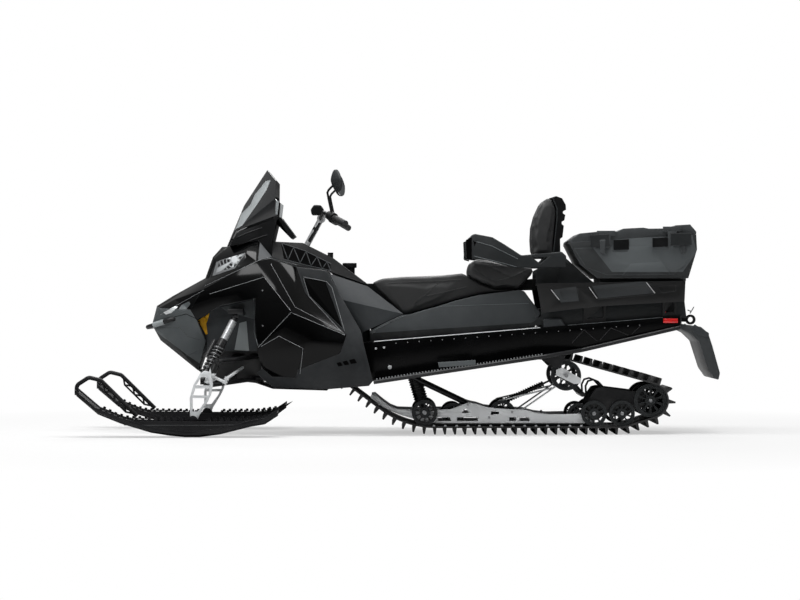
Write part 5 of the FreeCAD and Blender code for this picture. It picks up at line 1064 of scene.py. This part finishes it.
# %% [markdown]
# ## Tunnel and running boards
# A folded aluminium tunnel painted black: a pale bead on its top fold as a painted highlight, a row
# of rivets below it, pressed stiffening lines at the rear and a serrated grip edge on each running
# board.

# %% Tunnel fold highlight and rivets
def rising(front_x, front_z, run, rise):
    # The height along a straight fold that climbs towards the rear.
    return lambda x: front_z + (front_x - x) / run * rise


fold_height = rising(front_x=0.400, front_z=0.470, run=1.878, rise=0.157)
board_height = rising(front_x=0.138, front_z=0.282, run=1.098, rise=0.165)
fold_y, board_edge_y, tooth_rise = 0.2712, 0.425, 0.0105
# The beads on the top fold are painted highlights, bright at the front and dimmer at the rear.
for name, ends, finish, radius in (("fold_trim", (0.137, -0.740), silver_coat, 0.0022),
                                   ("fold_trim_rear", (-0.885, -1.385), plastic_nose, 0.0016)):
    fold = [[Vector((x, fold_y, fold_height(x))) for x in ends]]
    beads.grow(name, both_sides(fold), finish, Radius=radius)
tunnel_skin = skin_of("tunnel", "footwells")
rivet_count = 22
first_rivet, rivet_step = (396, 343.2), (11.6, -0.86)
rivets = [tuple(first + step * number for first, step in zip(first_rivet, rivet_step))
          for number in range(rivet_count)]
fastened("tunnel_rivets", rivets, tunnel_skin, radius=0.0032, height=0.002, material=steel)
fastened("tunnel_bolts", [(376, 348.5), (384, 347.5)], tunnel_skin, radius=0.006, height=0.004,
         material=silver_coat)
fastened("foot_bolts", [(389.8, 367.3)], tunnel_skin, radius=0.011, height=0.006, material=silver_coat)
bead("tunnel_folds", [[(572, 343), (584, 330), (597, 341)], [(600, 340), (611, 328), (628, 335)],
                      [(632, 334), (641, 325.5)]], tunnel_skin, radius=0.0016, material=coated_black)
grip_edge = [[Vector((x, board_edge_y, board_height(x) + tooth_rise)) for x in (0.120, -0.740)]]
studs.grow("board_teeth", both_sides(grip_edge), edge_glint, Pitch=0.016, Length=0.008, Width=0.007,
           Height=0.007, Upward=straight_up)
side_plate("foot_grates", [(438, 362.3), (475.5, 360), (475.5, 365), (439, 367.3)], inner=0.4285,
           outer=0.4315, material=plastic_nose)
print("fold trim, rivets and board teeth")

# %% [markdown]
# ## Track suspension
# Bolts on the rails, hub bolts on the wheels, a bright plate on the carrier wheel, thin control rods
# and a bent spring. The rods are beads between the pivots that the picture shows.

# %% Rails, hubs and rods
rails = skin_of("slide_rails", "rail_brackets", "track_wheels", "wheel_shafts")
fastened("rail_bolts", [(378.6, 405.2), (468, 405), (489, 417.5), (512, 412), (541, 411)], rails,
         radius=0.007, height=0.005, material=steel)
fastened("hub_bolts", [(423.9, 412.2), (594, 413.2), (622, 413.2), (650.5, 400.5)], rails, radius=0.010,
         height=0.006, material=steel)
side_plate("carrier_links", [(556, 370), (562, 367.5), (581, 378.5), (581, 383.5), (574, 384), (556, 375)],
           inner=0.2345, outer=0.2385, material=rail_silver)
side_plate("carrier_brackets", [(541, 356), (567, 352.5), (560, 368), (553, 368)], inner=0.2560,
           outer=0.2620, material=coated_black)
rod_lines = [[seen(520, 411, 0.165), seen(556, 386, 0.165)], [seen(498, 401, 0.160), seen(552, 388, 0.160)]]
beads.grow("control_rods", both_sides(rod_lines), silver_coat, Radius=0.0045)
spring_line = [[seen(column, row, 0.150) for column, row in
                ((586, 394), (585.5, 386), (588, 381), (593, 379.6), (598, 381.6), (603, 387), (607, 393))]]
beads.grow("spring_loops", both_sides(spring_line), coated_black, Radius=0.0055)
clip_line = [[Vector((-0.180, 0.222, 0.0420)), Vector((-1.020, 0.222, 0.0420))]]
studs.grow("track_clips", both_sides(clip_line), steel, Pitch=0.0565, Length=0.014, Width=0.020,
           Height=0.007, Upward=straight_up)
print("rail bolts, hub bolts, rods and clips")

# %% Springs of the ski shocks
coil_turns, coil_steps = 7, 14
coil_from, coil_over = 0.13, 0.37
coil_radius = 0.0275
coil_axis = (shock_head - shock_foot).normalized()
coil_side = coil_axis.cross(Vector((0, 1, 0))).normalized()
coil_front = coil_axis.cross(coil_side)
coil = []
for step in range(coil_turns * coil_steps + 1):
    turn = math.tau * step / coil_steps
    middle = shock_foot.lerp(shock_head, coil_from + coil_over * step / (coil_turns * coil_steps))
    coil.append(middle + (coil_side * math.cos(turn) + coil_front * math.sin(turn)) * coil_radius)
coils = beads.grow("shock_coils", both_sides([coil]), coil_grey, body_of["front_shocks"], Radius=0.0042)
coils.data.shade_smooth()
print("coils on", body_of["front_shocks"])

# %% [markdown]
# ## Skis, handlebar and tail
# Each ski has two thin walls with a serrated rim, and a ledge outside. The bar carries a clamp
# block, the mirrors are rounded shells with their glass on a bent stem, and the hitch has its pin.

# %% Skis
ski_wall_points = [(100, 411), (112, 417), (125, 420.5), (140, 421), (181, 421.5), (209, 421.5), (246, 421),
                   (265, 418.5), (284, 409.5), (268, 422), (249, 426), (224, 433.5), (200, 434.6), (170, 434),
                   (145, 429.5), (120, 422.8)]
ski_near_y, ski_face_y = 0.59, 0.593
ski_walls = {"outer": (0.585, ski_face_y), "inner": (0.407, 0.415)}
rim_ys, rim_rise = (0.588, 0.412), 0.002
ski_wall = side_view(ski_wall_points, ski_near_y)
ski_edge = side_view([(124, 425), (140, 425.4), (215, 425.4), (249, 424.6)], ski_face_y)
for side, sign in (("left", 1), ("right", -1)):
    node = "ski_" + side
    for place, span in ski_walls.items():
        name = f"{node}_{place}_wall"
        finished(name, slabs(name, ski_wall, [[sign * y for y in span]]), plastic_ski, body_of[node])
    ledge = [[Vector((x, sign * ski_face_y, z)) for x, z in ski_edge]]
    beads.grow(node + "_ledge", ledge, plastic_dark, body_of[node], Radius=0.0022)
    rims = [[Vector((x, sign * rim_y, z + rim_rise)) for x, z in side_view(line, ski_near_y)]
            for line in (ski_wall_points[:5], ski_wall_points[5:8]) for rim_y in rim_ys]
    studs.grow(node + "_teeth", rims, plastic_ski, body_of[node], Pitch=0.032, Length=0.018, Width=0.010,
               Height=0.015, Upward=straight_up)
print("ski teeth on", body_of["ski_left"], "and", body_of["ski_right"])

# %% Bar clamp
clamp_half = 0.045
clamp_outline = [(0.412, 1.168), (0.474, 1.166), (0.480, 1.196), (0.462, 1.222), (0.424, 1.220),
                 (0.408, 1.196)]
clamp = finished("bar_clamp", slabs("bar_clamp", clamp_outline, [(-clamp_half, clamp_half)]), plastic_black,
                 body_of["handlebar"])
softened(clamp, width=0.008, segments=3)
print("bar clamp", len(clamp.data.polygons), "faces")


# %% Mirrors
head_middle = Vector((0.327, 0.291, 1.340))
stem_ends = [Vector((0.361, 0.273, 1.170)), Vector((0.376, 0.273, 1.240)), Vector((0.383, 0.274, 1.278)),
             Vector((0.376, 0.277, 1.292)), Vector((0.350, 0.286, 1.318))]
head_turn = math.radians(20)
head_half_width, head_half_height = 0.070, 0.060


def dish(name, rings, sign, sides=40):
    # A closed rounded shell: each ring is (size, forward), from the glass side to the outer side.
    forward = Vector((math.cos(head_turn), sign * math.sin(head_turn), 0))
    across = Vector((-sign * math.sin(head_turn), math.cos(head_turn), 0))
    upward = Vector((0.12, 0, 0.993))
    centre = Vector((head_middle.x, sign * head_middle.y, head_middle.z))
    build = bmesh.new()
    loops = []
    for size, ahead in rings:
        loop = []
        for step in range(sides):
            turn = math.tau * step / sides
            wide, tall = (math.copysign(abs(part) ** 0.80, part) for part in (math.cos(turn), math.sin(turn)))
            wide *= 1.0 - 0.34 * tall * (tall > 0) + 0.12 * tall * (tall < 0)
            loop.append(build.verts.new(centre + across * (wide * head_half_width * size)
                                        + upward * (tall * head_half_height * size) + forward * ahead))
        loops.append(loop)
    build.faces.new(loops[0])
    build.faces.new(loops[-1])
    for inner, outer in zip(loops, loops[1:]):
        for step in range(sides):
            after = (step + 1) % sides
            build.faces.new((inner[step], inner[after], outer[after], outer[step]))
    bmesh.ops.recalc_face_normals(build, faces=build.faces[:])
    return as_mesh(name, build)


shell_rings = [(0.90, 0.003), (0.93, 0.0), (0.97, 0.0), (1.0, 0.003), (1.0, 0.008), (0.92, 0.014),
               (0.70, 0.022), (0.40, 0.031), (0.16, 0.035)]
glass_rings = [(0.30, 0.0022), (0.86, 0.0016), (0.895, 0.0032)]
for side, sign in (("left", 1), ("right", -1)):
    head = finished("mirror_shell_" + side, dish("mirror_shell_" + side, shell_rings, sign), plastic_dark,
                    body_of["mirrors"])
    head.data.shade_smooth()
    head.data.set_sharp_from_angle(angle=math.radians(50))
    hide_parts("mirrors")
    finished("mirror_glass_" + side, dish("mirror_glass_" + side, glass_rings, sign), mirror_glass,
             body_of["mirrors"])
    stem = beads.grow("mirror_stem_" + side, [[Vector((p.x, sign * p.y, p.z)) for p in stem_ends]],
                      plastic_black, body_of["mirrors"], Radius=0.006)
    stem.data.shade_smooth()
print("mirrors on", body_of["mirrors"])

# %% Hitch pin, flap brackets and slats
pin_lines = [[seen(690, 313.5, 0), seen(694, 306.8, 0)], [seen(687.5, 310, 0), seen(691.5, 311.5, 0)]]
beads.grow("hitch_pin", pin_lines, silver_coat, Radius=0.0032)
side_plate("flap_brackets", [(691, 328), (694.8, 324.3), (709, 333), (709, 337.5), (695, 334)],
           inner=0.2435, outer=0.2490, material=plastic_grey)
bead("screen_slats", [[(232, 240), (246, 233.5), (262, 227.5)], [(237, 246), (252, 240), (267, 235)]],
     skin_of("windshield", "dash_pod", "hood"), radius=0.004, material=panel_black)
print("pin, brackets and slats")

# %% [markdown]
# ## Floor, world and lights
# A studio picture on white: the floor and the world are white to the camera and in reflections, and
# a plain level for everything else. Long soft lamps above give the lacquer its clean streaks.

# %% Floor
def floor_finish():
    net = Net("studio_floor")
    net.finish(Base_Color=(0.80, 0.80, 0.80), Roughness=0.9)
    to_camera = net.node("ShaderNodeLightPath", output="Is Camera Ray")
    away = net.node("ShaderNodeVectorMath", {"operation": "LENGTH"}, {0: net.place()}, 1)
    white = net.node("ShaderNodeEmission", None, {"Color": (1, 1, 1, 1), "Strength": 1.0})
    share = to_camera * net.spread(away, 1.5, 3.6, 0.50, 1.0)
    shader = Wave(net, net.shader.outputs[0])
    both = net.node("ShaderNodeMixShader", None, {0: share, 1: shader, 2: white})
    net.tree.links.new(both.socket, net.tree.nodes["Material Output"].inputs["Surface"])
    return net.material


floor_mesh = bpy.data.meshes.new("floor")
reach, floor_drop = 40.0, 0.0005
floor_mesh.from_pydata([(-reach, -reach, 0), (reach, -reach, 0), (reach, reach, 0), (-reach, reach, 0)],
                       [], [(0, 1, 2, 3)])
floor = linked("floor", floor_mesh)
floor.location.z = -floor_drop
floor.data.materials.append(floor_finish())

# %% World
world = bpy.data.worlds.new("studio")
bpy.context.scene.world = world
net = Net("studio", world)
ray = {kind: net.node("ShaderNodeLightPath", output=kind)
       for kind in ("Is Camera Ray", "Is Transmission Ray", "Is Glossy Ray")}
sight = net.node("ShaderNodeTexCoord", output="Generated")
height = net.node("ShaderNodeSeparateXYZ", None, {0: sight}, 2)
ambient = 0.20
mirrored_sky = net.spread(height, 0.05, 0.95, 0.02, 0.8)
white = ray["Is Camera Ray"].calc("MAXIMUM", ray["Is Camera Ray"], ray["Is Transmission Ray"])
shine = ray["Is Glossy Ray"]
strength = white + (1 - white) * (shine * mirrored_sky + (1 - shine) * ambient)
background = net.tree.nodes["Background"]
background.inputs["Color"].default_value = (1, 1, 1, 1)
net.tree.links.new(strength.socket, background.inputs["Strength"])
bpy.context.scene.view_settings.view_transform = "Standard"
print("world of", len(net.tree.nodes), "nodes")

# %% Lamps
def lamp(name, place, target, size, power):
    data = bpy.data.lights.new(name, "AREA")
    data.shape = "RECTANGLE"
    data.size, data.size_y = size
    data.energy = power
    made = linked(name, data)
    made.location = place
    made.rotation_euler = (Vector(target) - Vector(place)).to_track_quat("-Z", "Y").to_euler()


lamp("top_strip", place=(0.2, 0.9, 4.4), target=(0, 0, 0.5), size=(5.5, 1.2), power=210)
lamp("left_high", place=(2.6, 4.0, 3.6), target=(0.4, 0, 0.6), size=(2.2, 1.0), power=70)
lamp("right_fill", place=(0.0, -4.0, 3.6), target=(0, 0, 0.6), size=(5.0, 1.2), power=110)
